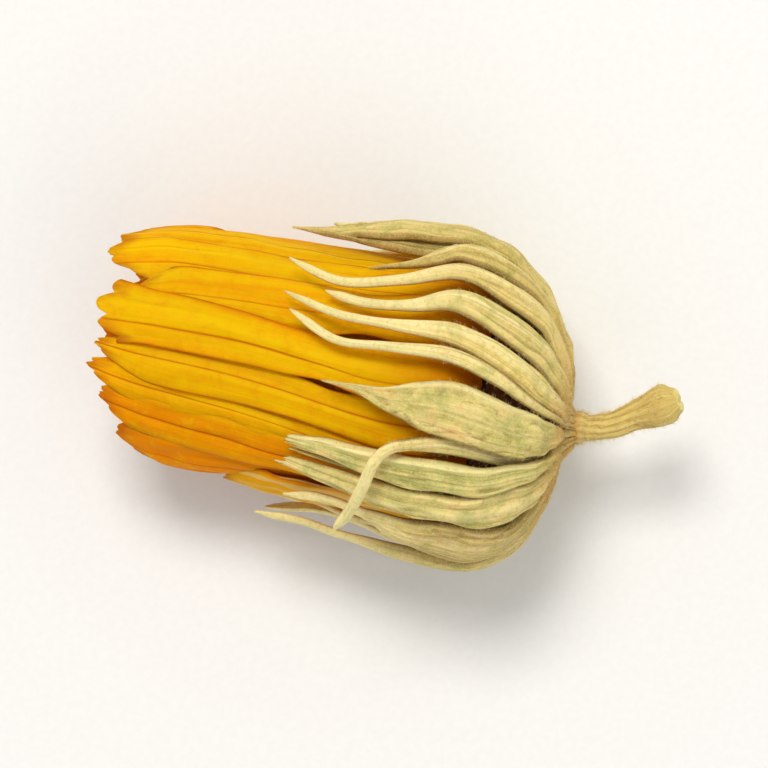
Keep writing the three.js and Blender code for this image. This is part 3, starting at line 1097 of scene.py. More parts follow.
@dataclass(frozen=True)
class BractPlan:
    """One bract.

    Attributes:
        azimuths: Where its middle lies, in degrees, from the bulge of the head on.
        half: Half its width there, in degrees.
        reach: How far along the head its tip lies, in millimetres.
        lift: How far its tip stands off the head, in millimetres.
        tip: How it ends.
        shoulder: The azimuths of its two edges between the stem and the bulge, where it meets its neighbours.
            Without them it is as wide there as further on.
        green: How green it is, from 0 to 1.
        brown: How brown it is.
        keel: How rounded its back is, where 1 is usual.
        roll: How high a margin is rolled up, in millimetres: above 0 the near one and below 0 the far one.
        crumple: How deep its dents are, in millimetres.
    """

    azimuths: tuple[float, ...]
    half: float
    reach: float
    lift: float
    tip: Tip
    shoulder: Run | None = None
    green: float = 0.3
    brown: float = 0.1
    keel: float = 1.0
    roll: float = 0.0
    crumple: float = 0.035

    def ends_thin(self) -> bool:
        """Whether it dries to a thread."""
        return self.tip in (Tip.THREAD, Tip.DROOPING)


@dataclass
class Bract(Blade):
    """One bract, with a rounded back, soft wrinkles, rolled margins and a tip that may dry to a thread."""

    plan: BractPlan = None

    # Its outline: widths as shares of its greatest, but a thread's half width and distance in millimetres.
    foot: float = 0.96
    foot_run: Run = (0.0, 0.3)
    foot_spread: float = 0.25
    shoulder_share: float = 0.51
    shoulder_run: Run = (0.33, 0.6)
    thread: float = 0.22
    thread_distance: float = 7.0
    thread_end: float = 0.5
    thread_end_run: Run = (0.94, 1.0)
    wave: float = 0.07
    wave_run: Run = (0.2, 0.45)
    tip_wave: float = 0.16
    tip_wave_run: Run = (0.65, 0.8)
    ragged: float = 0.035
    rounded: float = 0.02
    ragged_run: Run = (0.85, 1.0)

    # How its middle strays: in millimetres, but the turn in radians.
    stray: float = 0.2
    stray_turn: float = 0.026
    stray_run: Run = (0.6, 0.95)
    stiff: float = 0.4
    foot_sink: float = 0.2
    foot_reach: float = 0.65
    foot_reach_power: float = 1.3

    # Its thickness in millimetres, and what is left of it at its ends and edges.
    thick: float = 0.35
    tip_thick: float = 0.75
    tip_thick_run: Run = (0.6, 1.0)
    end_thick: float = 0.4
    end_thick_run: Run = (0.95, 1.0)
    edge_thick: float = 0.4
    foot_thick: float = 0.35
    foot_thick_end: float = 0.04

    # Its relief: heights in millimetres, and places and widths as shares of half its width.
    crown: float = 0.38
    sunk: float = 0.3
    foot_drop: float = 0.1
    foot_drop_run: Run = (0.25, 0.5)
    midrib: float = 0.05
    midrib_width: float = 0.22
    margin_at: float = 0.8
    margin_width: float = 0.15
    margin_run: Run = (0.12, 0.3)
    dent_run: Run = (0.05, 0.2)
    wrinkle: float = 0.032
    wrinkle_level: float = 0.6
    wrinkle_run: Run = (0.05, 0.35)
    wrinkle_counts: Run = (2.4, 1.4)
    usual_half: float = 6.5
    fewest: float = 0.8
    uneven: float = 0.16
    dented: float = 1.5
    drifting: float = 0.22
    ridge_power: float = 0.8
    pucker: float = 0.035
    puckers: float = 26.0
    pucker_bend: float = 1.5
    pucker_fade: Run = (0.08, 0.3)
    pucker_run: Run = (-0.02, 0.04)
    foothold_flat: float = 0.6
    full_half: float = 5.0
    least_relief: float = 0.12

    # The marks for its finish; the ridge and rim marks carry painted highlight and painted shade as well as
    # the bract's own paler midrib, margins and threads.
    middle_ridge: float = 0.42
    middle_width: float = 0.4
    pleat_ridge: float = 0.55
    rim_gain: float = 7.0
    rim_at: float = 0.82
    rim_width: float = 0.16
    rim_run: Run = (0.2, 0.4)
    thread_run: Run = (0.55, 0.78)
    thread_ridge: float = 0.9
    thread_rim: float = 0.75
    green_loss: float = 0.8
    brown_loss: float = 0.7

    def __post_init__(self) -> None:
        """Draws the wobbles that are its own."""
        first = self.seed * 7
        self.drift, self.far_wave, self.near_wave = (Wander(first + i, 6) for i in range(3))
        self.crosswise = Wander(first + 3, 5)
        self.waves = [Wander(first + 4 + i, 9) for i in range(2)]
        self.dents = Crumple(self.seed, (3.0, 9.0), (0.3, 1.3))
        least, more = self.wrinkle_counts
        wide = max(self.plan.half / self.usual_half, self.fewest)
        self.count = (least + more * ((self.seed * 0.37) % 1.0)) * wide

    def taper(self, t: Array) -> Array:
        """Finds its width over its greatest.

        Args:
            t: Places along it.

        Returns:
            The share at each place.
        """
        low, high, least = self.plan.tip.value
        if self.plan.tip is Tip.THREAD:
            least = self.thread / (math.radians(self.plan.half) * self.thread_distance)
        end = between(1.0, least, eased(t, low, high))
        if self.plan.ends_thin():
            end = end * between(1.0, self.thread_end, eased(t, *self.thread_end_run))
        return between(self.foot, 1.0, eased(t, *self.foot_run)) * end

    def half_angle(self, t: Array) -> Array:
        """Finds half its width.

        Args:
            t: Places along it.

        Returns:
            An angle about the axis at each place, in radians.
        """
        low, high = self.plan.shoulder or (-self.plan.half, self.plan.half)
        half = between(self.shoulder_share * (high - low), self.plan.half, eased(t, *self.shoulder_run))
        return np.radians(half) * self.taper(t) * (1 + self.foot_spread * self.foothold(t))

    def foothold(self, t: Array) -> Array:
        """How far it has run on to the stem, 1 where it starts."""
        return np.clip(t / self.start, 0, 1) if self.start < 0 else np.zeros_like(t)

    def side(self, t: Array, across: Array) -> Array:
        """Finds how its edges wave.

        Args:
            t: Places along it.
            across: Places across it.

        Returns:
            The width on that side of its middle over what it would be without waves.
        """
        wave = np.where(across > 0, self.far_wave.at(t), self.near_wave.at(t))
        wide = 1 + self.wave * wave * eased(t, *self.wave_run)
        return wide + self.tip_wave * wave * eased(t, *self.tip_wave_run)

    def sway(self, t: Array) -> Array:
        """Finds how far its middle strays from its way, at its loose tip and where its foot meets the stem.

        Args:
            t: Places along it.

        Returns:
            One row for each place: s and r in millimetres and the azimuth in radians.
        """
        loose = eased(t, *self.stray_run)
        if self.plan.tip in (Tip.BLUNT, Tip.POINTED):
            loose = loose * self.stiff
        foot = self.foothold(t)
        r = self.waves[0].at(t) * self.stray * loose - self.foot_sink * foot**2
        azimuth = self.waves[1].at(t) * self.stray_turn * loose
        return np.stack([-self.foot_reach * foot**self.foot_reach_power, r, azimuth], axis=-1)

    def slender(self, t: Array) -> Array:
        """How much of its relief is left where it narrows to a thread."""
        return np.clip(self.taper(t) * self.plan.half / self.full_half, self.least_relief, 1.0)

    def tip_fall(self, t: Array, across: Array) -> Array:
        """Finds how far its tip falls back, which rounds it, and leaves a blunt one ragged.

        Args:
            t: Places along it.
            across: Places across it.

        Returns:
            The fall at each place, as a share of its length.
        """
        fall = self.rounded * across**2
        if self.plan.tip is Tip.BLUNT:
            fall = fall + self.ragged * np.abs(self.crosswise.at((across + 1) / 2))
        return fall * eased(t, *self.ragged_run)

    def thickness(self, t: Array, across: Array) -> Array:
        """Finds how thick it is.

        Args:
            t: Places along it.
            across: Places across it.

        Returns:
            The thickness at each place, in millimetres.
        """
        thick = self.thick * between(1.0, self.tip_thick, eased(t, *self.tip_thick_run))
        thick = thick * between(1.0, self.end_thick, eased(t, *self.end_thick_run))
        thick = thick * between(1.0, self.edge_thick, across**4)
        return thick * between(self.foot_thick, 1.0, eased(t, self.start, self.foot_thick_end))

    def pleats(self, t: Array, across: Array) -> Array:
        """Finds its lengthwise wrinkles.

        Args:
            t: Places along it.
            across: Places across it.

        Returns:
            0 in a crease to 1 on a ridge, at each place.
        """
        uneven = across + self.uneven * self.crosswise.at((across + 1) / 2)
        uneven = uneven + self.dented * self.plan.crumple * self.dents.at(t, across)
        place = uneven * self.count / 2 + 0.5 + self.drifting * self.drift.at(t)
        return np.abs(np.sin(math.pi * place)) ** self.ridge_power

    def margin(self, across: Array) -> Array:
        """Turns places across it so that the margin that rolls up lies at 1."""
        return -across if self.plan.roll > 0 else across

    def relief(self, t: Array, across: Array) -> Array:
        """Finds how far its back, its margins, its dents and its folds stand out.

        Args:
            t: Places along it.
            across: Places across it.

        Returns:
            The height at each place, in millimetres.
        """
        back = self.crown * (np.sqrt(np.clip(1 - across**2, 0, 1)) - self.sunk)
        back = back - self.foot_drop * (1 - eased(t, *self.foot_drop_run))
        back = back + self.midrib * swell(across, self.midrib_width)
        rolled = abs(self.plan.roll) * swell(self.margin(across) - self.margin_at, self.margin_width)
        rolled = rolled * eased(t, *self.margin_run)
        dents = self.plan.crumple * self.dents.at(t, across) * eased(t, *self.dent_run)
        folds = 2 * self.wrinkle * (self.pleats(t, across) - self.wrinkle_level) * eased(t, *self.wrinkle_run)
        height = (self.plan.keel * back + rolled + dents + folds) * self.slender(t)
        turns = self.puckers * t + self.pucker_bend * self.crosswise.at((across + 1) / 2) + self.seed
        puckers = self.pucker * np.sin(2 * math.pi * turns)
        puckers = puckers * (1 - eased(t, *self.pucker_fade)) * eased(t, *self.pucker_run)
        return height * (1 - self.foothold_flat * self.foothold(t)) + puckers

    def marks(self, t: Array, across: Array) -> dict[str, Array | float]:
        """Works out the numbers that its finish reads.

        Args:
            t: Places along it.
            across: Places across it.

        Returns:
            Each mark's name and its number at each place.
        """
        middle = self.middle_ridge * self.plan.keel * swell(across, self.middle_width)
        rim = min(abs(self.plan.roll) * self.rim_gain, 1.0)
        rim = rim * swell(self.margin(across) - self.rim_at, self.rim_width) * eased(t, *self.rim_run)
        narrow = eased(t, *self.thread_run) * self.plan.ends_thin()
        # 1 on a ridge and 0 in a crease: the finish paints it partly as the paler midrib, partly as painted
        #                                 highlight and painted shade.
        ridge = np.clip(self.pleat_ridge * self.pleats(t, across) + middle, 0, 1)
        return {
            "ridge": between(ridge, self.thread_ridge, narrow),
            "green": self.plan.green * (1 - self.green_loss * narrow),
            "brown": self.plan.brown * (1 - self.brown_loss * narrow),
            "rim": np.clip(rim + self.thread_rim * narrow, 0, 1),
        }


@dataclass
class BractRing(Ring):
    """One ring of bracts, from the stem over the bulge of the head to their tips."""

    crown: float = 0.38
    start: float = -0.055
    bulge_point: int = 5
    shoulder_fade: tuple[float, ...] = (0.0, 0.0, 0.0, 0.12, 0.75)
    drooping: tuple[tuple[float, float, float], ...] = (
        (6.5, 7.1, 110),
        (7.5, 7.75, 109.4),
        (8.3, 8.4, 109.8),
        (8.9, 8.8, 114),
        (9.25, 8.85, 125),
        (9.65, 8.8, 138),
        (10.2, 8.75, 149),
    )

    def way(self, plan: BractPlan) -> Way:
        """Lays out the way of one bract.

        Args:
            plan: The bract.

        Returns:
            Its way through head space.
        """
        at_bulge = plan.azimuths[0]
        at_shoulder = sum(plan.shoulder) / 2 if plan.shoulder else at_bulge
        points = [
            (s, r, math.radians(float(between(at_shoulder, at_bulge, fade))))
            for (s, r), fade in zip(self.profile[: self.bulge_point], self.shoulder_fade)
        ]
        if plan.tip is Tip.DROOPING:
            return Way((*points, *((s, r, math.radians(azimuth)) for s, r, azimuth in self.drooping)))
        rest = self.profile[self.bulge_point :]
        bulge, end = rest[0][0], rest[-1][0]
        for (s, r), azimuth in zip(rest, plan.azimuths):
            share = (s - bulge) / (end - bulge)
            s = bulge + share * (plan.reach - bulge)
            points.append((s, r + plan.lift * share**2, math.radians(azimuth)))
        return Way(tuple(points))

    def blade(self, plan: BractPlan, **shared: str | int) -> Bract:
        """Lays out one bract.

        Args:
            plan: Its plan.
            **shared: Its name, its node, its seed and its grid.

        Returns:
            The bract.
        """
        return Bract(plan=plan, way=self.way(plan), start=self.start, crown=self.crown, **shared)


# ------------------------------------------------------------------------------------------- petals


class Lie(Enum):
    """How a petal lies among its neighbours: whether its near and its far edge stand out over them."""

    OVER_BOTH = (1, 1)
    OVER_NEXT = (-1, 1)
    OVER_LAST = (1, -1)
    UNDER_BOTH = (-1, -1)


@dataclass(frozen=True)
class PetalPlan:
    """One petal.

    Attributes:
        at: The azimuth of its foot, in degrees.
        turn: How far round it has turned by its tip, in degrees.
        half: Half its width, in degrees.
        reach: How far along the head its tip lies, in millimetres.
        flare: How far its tip stands out beyond its ring, in millimetres.
        lies: How it lies among its neighbours.
        orange: How orange it is, from 0 to 1: partly its own tone, partly painted shade on the petals that
            face away from the light.
        pale: How strong its pale streaks are, from 0 to 1.
        tip: How wide its tip is, over its greatest width.
        slant: How far its tip is cut back to one side, as a share of its length, above 0 on the far side and
            below 0 on the near one.
        lobes: How deep its teeth are, where 1 is usual.
        gaps: Where along it its edges draw in, over what share of its length, and how far the near edge and
            the far one do so, as shares of half its width.
    """

    at: float
    turn: float
    half: float
    reach: float
    flare: float
    lies: Lie
    orange: float = 0.2
    pale: float = 0.0
    tip: float = 0.7
    slant: float = 0.0
    lobes: float = 1.0
    gaps: tuple[float, float, float, float] | None = None


@dataclass
class Petal(Blade):
    """One petal: a narrow claw, a long pleated blade and a toothed tip."""

    plan: PetalPlan = None

    # Its outline: widths as shares of its greatest, and lengths as shares of its own.
    claw: float = 0.92
    claw_run: Run = (0.0, 0.42)
    tip_run: Run = (0.84, 1.0)
    wave: float = 0.08
    wave_run: Run = (0.3, 0.6)
    rounded: float = 0.045
    teeth: float = 0.013
    tooth_count: float = 1.5
    tooth_power: float = 0.8
    fraying: float = 0.35
    slant_start: float = 0.6
    slant_power: float = 1.5
    fall_length: float = 0.22
    fall_stretch: float = 1.8

    # How it lies: how high its edges and its middle rise or sink, in millimetres.
    shingle: float = 0.22
    shingle_run: Run = (0.0, 0.3)
    stray: float = 0.09

    # Its thickness in millimetres, and what is left of it at its edges and its tip.
    thick: float = 0.16
    edge_thick: float = 0.45
    tip_thick: float = 0.5
    thin_run: Run = (0.85, 1.0)

    # Its relief: heights in millimetres, and places and widths as shares of half its width.
    crown: float = 0.12
    fold: float = 0.05
    uneven: float = 0.2
    drifting: float = 0.3
    fold_power: float = 1.2
    crease: float = 0.04
    crease_depths: tuple[float, ...] = (0.35, 1.0, 0.25)
    crease_width: float = 0.06
    crease_drift: float = 0.1
    crease_bend: float = 0.06
    vein: float = 0.008
    veins: float = 6.5
    vein_drift: float = 0.5
    dent: float = 0.045
    relief_run: Run = (0.08, 0.36)
    tip_relief: float = 0.5
    curl_run: Run = (0.75, 1.0)

    # The marks for its finish: how strong the painted shade is in its hollows, in its creases and along its
    # edges.
    hollow: float = 0.3
    crease_shade: float = 0.8
    hollow_run: Run = (0.05, 0.3)
    edge_shade: float = 0.9

    def __post_init__(self) -> None:
        """Draws the wobbles that are its own."""
        draws = np.random.default_rng(self.seed + 500).uniform(0, 1, 6)
        self.count = 1.1 + 0.9 * draws[0]
        self.phase, self.tooth_shift = draws[1], 0.5 * (draws[2] - 0.5)
        self.deep = 0.7 + 0.6 * draws[3]
        self.curl = 0.3 * (draws[4] - 0.4)
        self.tip_width = self.plan.tip * (0.9 + 0.2 * draws[1])
        self.lines = (-0.62 + 0.35 * draws[5], -0.05 + 0.3 * draws[0], 0.42 + 0.3 * draws[2])
        self.dents = Crumple(self.seed, (2.0, 8.0), (0.3, 1.6))
        first = self.seed * 11
        self.drift, self.far_wave, self.near_wave, self.lift = (Wander(first + i, 5) for i in range(4))
        self.crosswise, self.frayed = Wander(first + 4, 5), Wander(first + 5, 11)

    def taper(self, t: Array) -> Array:
        """Its width over its greatest."""
        tip = between(1.0, self.tip_width, eased(t, *self.tip_run))
        return between(self.claw, 1.0, eased(t, *self.claw_run)) * tip

    def half_angle(self, t: Array) -> Array:
        """Half its width as an angle about the axis, in radians."""
        return math.radians(self.plan.half) * self.taper(t)

    def side(self, t: Array, across: Array) -> Array:
        """Finds how its edges wave and where they draw in.

        Args:
            t: Places along it.
            across: Places across it.

        Returns:
            The width on that side of its middle over what it would be with straight edges.
        """
        wave = np.where(across > 0, self.far_wave.at(t), self.near_wave.at(t))
        wide = 1 + self.wave * wave * eased(t, *self.wave_run)
        if self.plan.gaps:
            where, length, near, far = self.plan.gaps
            wide = wide - np.where(across > 0, far, near) * swell(t - where, length)
        return wide

    def edges(self, t: Array, across: Array) -> Array:
        """How far it stands out on the way from one edge to the other, in millimetres."""
        near, far = self.plan.lies.value
        return self.shingle * eased(t, *self.shingle_run) * between(near, far, (across + 1) / 2)

    def tip_fall(self, t: Array, across: Array) -> Array:
        """Finds how far its tip falls back, which rounds, slants and teethes it.

        The fall starts early enough for the blade never to fold back on itself.

        Args:
            t: Places along it.
            across: Places across it.

        Returns:
            The fall at each place, as a share of its length.
        """
        turn = self.tooth_count * math.pi * (across + self.tooth_shift)
        tooth = 1 - np.abs(np.cos(turn)) ** self.tooth_power
        frayed = self.fraying * np.abs(self.frayed.at((across + 1) / 2))
        edge = across if self.plan.slant > 0 else -across
        oblique = np.clip((edge + self.slant_start) / (1 + self.slant_start), 0, 1) ** self.slant_power
        fall = self.rounded * across**2 + abs(self.plan.slant) * oblique
        fall = fall + self.teeth * (self.plan.lobes * tooth + frayed)
        return fall * eased(t, 1.0 - np.maximum(self.fall_length, self.fall_stretch * fall), 1.0)

    def sway(self, t: Array) -> Array:
        """How far its middle strays: s and r in millimetres and the azimuth in radians."""
        r = self.stray * self.lift.at(t) * eased(t, *self.wave_run)
        return np.stack([np.zeros_like(r), r, np.zeros_like(r)], axis=-1)

    def thickness(self, t: Array, across: Array) -> Array:
        """How thick it is, in millimetres."""
        thick = self.thick * between(1.0, self.edge_thick, across**8)
        return thick * between(1.0, self.tip_thick, eased(t, *self.thin_run))

    def pleats(self, t: Array, across: Array) -> Array:
        """Finds its soft lengthwise folds.

        Args:
            t: Places along it.
            across: Places across it.

        Returns:
            0 in a hollow to 1 on a ridge, at each place.
        """
        uneven = across + self.uneven * self.crosswise.at((across + 1) / 2)
        place = uneven * self.count / 2 + self.phase + self.drifting * self.drift.at(t)
        return np.abs(np.sin(math.pi * place)) ** self.fold_power

    def creases(self, t: Array, across: Array) -> Array:
        """Finds its few sharp lengthwise creases.

        Args:
            t: Places along it.
            across: Places across it.

        Returns:
            1 in the deepest crease to 0 away from them all, at each place.
        """
        place = across + self.crease_drift * self.drift.at(t) + self.crease_bend * self.crosswise.at(t)
        known = zip(self.crease_depths, self.lines)
        return np.max([d * np.exp(-np.abs(place - line) / self.crease_width) for d, line in known], axis=0)

    def relief(self, t: Array, across: Array) -> Array:
        """Finds how far its back, its folds, its veins and its dents stand out, and how its tip curls.

        Args:
            t: Places along it.
            across: Places across it.

        Returns:
            The height at each place, in millimetres.
        """
        shown = eased(t, *self.relief_run) * between(1.0, self.tip_relief, eased(t, *self.thin_run))
        folds = 2 * self.fold * self.deep * (self.pleats(t, across) - 0.5)
        folds = folds - self.crease * self.creases(t, across)
        place = across * self.veins + self.phase + self.vein_drift * self.drift.at(t)
        veins = self.vein * np.abs(np.sin(math.pi * place))
        dents = self.dent * self.dents.at(t, across)
        curl = self.curl * across**2 * eased(t, *self.curl_run)
        return self.crown * (1 - across**2) + (folds + veins + dents) * shown + curl

    def marks(self, t: Array, across: Array) -> dict[str, Array | float]:
        """Works out the numbers that its finish reads.

        Args:
            t: Places along it.
            across: Places across it.

        Returns:
            Each mark's name and its number at each place.
        """
        # Painted shade: darker in the hollows between its folds, in its creases and in a line along each
        # edge, where it meets its neighbours.
        creases = self.crease_shade * self.creases(t, across) ** 1.5
        hollow = (self.hollow * (1 - self.pleats(t, across)) ** 2 + creases) * eased(t, *self.hollow_run)
        valley_shade = np.clip(hollow + self.edge_shade * np.abs(across) ** 12, 0, 1)
        return {"valley_shade": valley_shade, "orange": self.plan.orange, "pale": self.plan.pale}


@dataclass
class PetalRing(Ring):
    """One ring of petals, from the receptacle to their tips."""

    fold: float = 0.05

    @staticmethod
    def even(reaches: tuple[float, ...], first: float, half: float, orange: float) -> tuple[PetalPlan, ...]:
        """Plans petals spaced evenly about the axis.

        Args:
            reaches: How far each reaches.
            first: The azimuth of the first.
            half: Half their width.
            orange: How orange they are.

        Returns:
            One plan for each.
        """
        gap = 360 / len(reaches)
        places = [(first + gap * i, reach) for i, reach in enumerate(reaches)]
        return tuple(PetalPlan(at, 0, half, reach, 0, Lie.OVER_NEXT, orange) for at, reach in places)

    def way(self, plan: PetalPlan) -> Way:
        """Lays out the way of one petal.

        Args:
            plan: The petal.

        Returns:
            Its way through head space.
        """
        start, end = self.profile[0][0], self.profile[-1][0]
        points = []
        for s, r in self.profile:
            share = (s - start) / (end - start)
            azimuth = math.radians(plan.at + plan.turn * share**2)
            points.append((start + share * (plan.reach - start), r + plan.flare * share**2, azimuth))
        return Way(tuple(points))

    def blade(self, plan: PetalPlan, **shared: str | int) -> Petal:
        """Lays out one petal.

        Args:
            plan: Its plan.
            **shared: Its name, its node, its seed and its grid.

        Returns:
            The petal.
        """
        return Petal(plan=plan, way=self.way(plan), fold=self.fold, **shared)


# ------------------------------------------------------------------------------------ core and stem


@dataclass
class Receptacle:
    """The cushion that carries everything, with a puckered neck on the stem's side."""

    outline: tuple[tuple[float, float], ...] = (
        (0, 0),
        (0.55, 0.15),
        (0.75, 0.7),
        (1.1, 1.25),
        (2.2, 1.75),
        (3.7, 2.55),
        (4.7, 3.4),
        (4.75, 4.0),
        (4.3, 4.36),
        (3.0, 4.6),
        (1.6, 4.72),
        (0, 4.78),
    )
    sides: int = 96
    cuts: int = 3
    long_edge: float = 0.5
    pucker: float = 0.05
    puckers: int = 9
    pucker_twist: float = 0.8
    pucker_run: Run = (0.5, 1.1)

    def build(self, material: bpy.types.Material) -> bpy.types.Object:
        """Builds the cushion.

        Args:
            material: Its finish.

        Returns:
            The piece.
        """
        bm = turned(self.outline, self.sides)
        rising = set(upright(bm, 1e-4))
        lengthwise = [e for e in bm.edges if e in rising or e.calc_length() > self.long_edge]
        bmesh.ops.subdivide_edges(bm, edges=lengthwise, cuts=self.cuts, use_grid_fill=True)
        mesh = Piece.mesh(bm, "receptacle_cushion")
        x, y, s = Piece.points(mesh).T
        azimuth, r = np.arctan2(y, x), np.hypot(x, y)
        folds = np.abs(np.sin(self.puckers * azimuth + self.pucker_twist * s)) * eased(r, *self.pucker_run)
        Piece.move(mesh, HEAD.place(s, r - self.pucker * folds, azimuth))
        Piece.close(mesh)
        return Piece.finish(mesh, material, "receptacle", ["receptacle"])


@dataclass
class DiscFlorets:
    """The small tubes in the middle of the head, which open into lobes, on the mat that their feet form."""

    foot: float = 5.05
    spacing: float = 0.68
    rings: int = 2
    splay: float = 0.07
    mat_radius: float = 1.85
    mat_thickness: float = 0.5
    mat_sides: int = 40
    sides: int = 20
    lobes: int = 5
    lobe: float = 0.22
    lobe_run: Run = (2.3, 3.0)
    outline: tuple[tuple[float, float], ...] = (
        (0, 0.1),
        (0.17, 0.1),
        (0.2, 0.8),
        (0.19, 1.9),
        (0.25, 2.4),
        (0.31, 2.7),
        (0.28, 3.1),
        (0.2, 3.05),
        (0.1, 2.7),
        (0, 2.6),
    )

    def feet(self) -> list[tuple[float, float]]:
        """Lays out the florets' feet on a six-sided grid.

        Returns:
            Each foot, as two distances from the axis.
        """
        span = range(-self.rings, self.rings + 1)
        grid = [(row, column) for row in span for column in span if abs(row + column) <= self.rings]
        row_gap = self.spacing * math.sin(math.radians(60))
        return [(self.spacing * (column + row / 2), row_gap * row) for row, column in grid]

    def build(self, material: bpy.types.Material) -> bpy.types.Object:
        """Builds the florets.

        Args:
            material: Their finish.

        Returns:
            The piece.
        """
        radius, top = self.mat_radius, self.mat_thickness
        bm = turned(((0, 0), (radius, 0), (radius, top), (0, top)), self.mat_sides)
        bell = Piece.mesh(turned(self.outline, self.sides), "bell")
        for y, z in self.feet():
            known = len(bm.verts)
            bm.from_mesh(bell)
            bm.verts.ensure_lookup_table()
            for vert in bm.verts[known:]:
                x, up, height = vert.co
                opening = self.lobe * math.cos(self.lobes * math.atan2(up, x))
                wide = 1 + opening * float(eased(height, *self.lobe_run))
                lean = 1 + self.splay * height
                vert.co = Vector((x * wide + y * lean, up * wide + z * lean, height))
        mesh = Piece.mesh(bm, "disc_floret_bells")
        bpy.data.meshes.remove(bell)
        x, y, height = Piece.points(mesh).T
        Piece.move(mesh, HEAD.place(self.foot + height, np.hypot(x, y), np.arctan2(y, x)))
        Piece.close(mesh)
        return Piece.finish(mesh, material, "disc_florets", ["disc_florets"])


@dataclass
class Stem:
    """The short cut stem: a ribbed stalk that bends up and has dried wider at its cut."""

    radius: float = 0.63
    foot_radius: float = 0.8
    foot_run: Run = (0.0, 0.3)
    cut_radius: float = 1.02
    cut_run: Run = (0.62, 0.99)
    ribs: int = 11
    rib: float = 0.03
    rib_twist: float = 0.5
    rib_level: float = 0.6
    rib_power: float = 0.8
    cut_ribs: float = 0.15
    rib_run: Run = (0.65, 0.93)
    long_lump: float = 0.03
    short_lump: float = 0.02
    rounding: float = 0.3
    rounding_length: float = 0.07
    rounding_power: float = 2.2
    coarse_tear: float = 0.004
    fine_tear: float = 0.003
    tear_run: Run = (0.44, 0.5)
    cut_rings: tuple[Run, ...] = (
        (0.06, 0.012),
        (0.1, 0.012),
        (0.12, 0.008),
        (0.16, 0.004),
        (0.2, -0.004),
        (0.2, -0.006),
    )
    cut_ridge: float = 0.7
    ridge_run: Run = (0.6, 0.9)
    rind: Run = (0.72, 0.86)
    pith_run: Run = (0.4, 0.48)
    sides: int = 108
    rings: int = 70
    start: float = -0.16
    centre: Way = Way(
        (
            (0.3, 0.72, -0.05),
            (0.95, 0.83, -0.05),
            (1.95, 1.16, 0.05),
            (3.2, 1.95, 0.35),
            (4.62, 2.84, 0.8),
        )
    )

    def grooves(self, azimuth: Array, t: Array) -> Array:
        """Its ribs, from 0 in a groove to 1 on a rib."""
        turn = self.ribs / 2 * (azimuth + self.rib_twist * t) + 0.4 * np.sin(azimuth + 3 * t)
        return np.abs(np.cos(turn)) ** self.rib_power

    def skin(self, azimuth: Array, share: Array, t: Array) -> Array:
        """Lays the stalk along its bent way.

        Args:
            azimuth: The angle about the stalk.
            share: How far out from its middle, where 1 is its surface.
            t: How far along it.

        Returns:
            One point in millimetres for each place.
        """
        forward = self.centre.heading(t)
        sideways = unit(np.cross(np.array([0.0, 0.0, 1.0]), forward))
        upward = np.cross(forward, sideways)
        foot = (self.foot_radius - self.radius) * (1 - eased(t, *self.foot_run))
        cut = (self.cut_radius - self.radius) * eased(t, *self.cut_run)
        lumps = self.long_lump * np.sin(7 * t + 2 * azimuth) + self.short_lump * np.sin(23 * t - azimuth)
        ribs = self.rib * (self.grooves(azimuth, t) - self.rib_level)
        ribs = ribs * between(1.0, self.cut_ribs, eased(t, *self.rib_run))
        past = np.clip((t - (1 - self.rounding_length)) / self.rounding_length, 0, 1)
        rounded = 1 - self.rounding * past**self.rounding_power
        out = ((self.radius + foot + cut + lumps + ribs) * rounded * share)[:, None]
        middle = self.centre.at(t) + np.array(HEAD.seat)
        return middle + upward * out * np.cos(azimuth)[:, None] + sideways * out * np.sin(azimuth)[:, None]

    def build(self, material: bpy.types.Material) -> bpy.types.Object:
        """Builds the stalk from a cylinder, whose end is inset for the rind and the pith of the cut.

        Args:
            material: Its finish.

        Returns:
            The piece.
        """
        bm = bmesh.new()
        bmesh.ops.create_cone(
            bm, cap_ends=True, cap_tris=False, segments=self.sides, radius1=1.0, radius2=1.0, depth=1.0
        )
        bmesh.ops.subdivide_edges(bm, edges=upright(bm, 0.5), cuts=self.rings, use_grid_fill=True)
        cap = [f for f in bm.faces if all(v.co.z > 0.499 for v in f.verts)]
        for width, depth in self.cut_rings:
            bmesh.ops.inset_region(bm, faces=cap, thickness=width, depth=depth)
        bmesh.ops.poke(bm, faces=cap)
        mesh = Piece.mesh(bm, "stem_stalk")
        x, y, z = Piece.points(mesh).T
        azimuth, share = np.arctan2(y, x), np.hypot(x, y)
        torn = self.coarse_tear * np.sin(3 * azimuth + 1) + self.fine_tear * np.sin(7 * azimuth)
        at = z + 0.5 + torn * eased(z, *self.tear_run)
        t = self.start + (1 - self.start) * at
        Piece.move(mesh, self.skin(azimuth, share, t))
        Piece.map(mesh, azimuth / (2 * math.pi) + 0.5, np.clip(at, 0, 1))
        ridge = between(self.grooves(azimuth, t), self.cut_ridge, eased(t, *self.ridge_run))
        Piece.mark(mesh, ridge=ridge, pith=(1 - eased(share, *self.rind)) * eased(z, *self.pith_run))
        Piece.close(mesh)
        return Piece.finish(mesh, material, "stem", ["stem"])


# --------------------------------------------------------------------------------------------- down


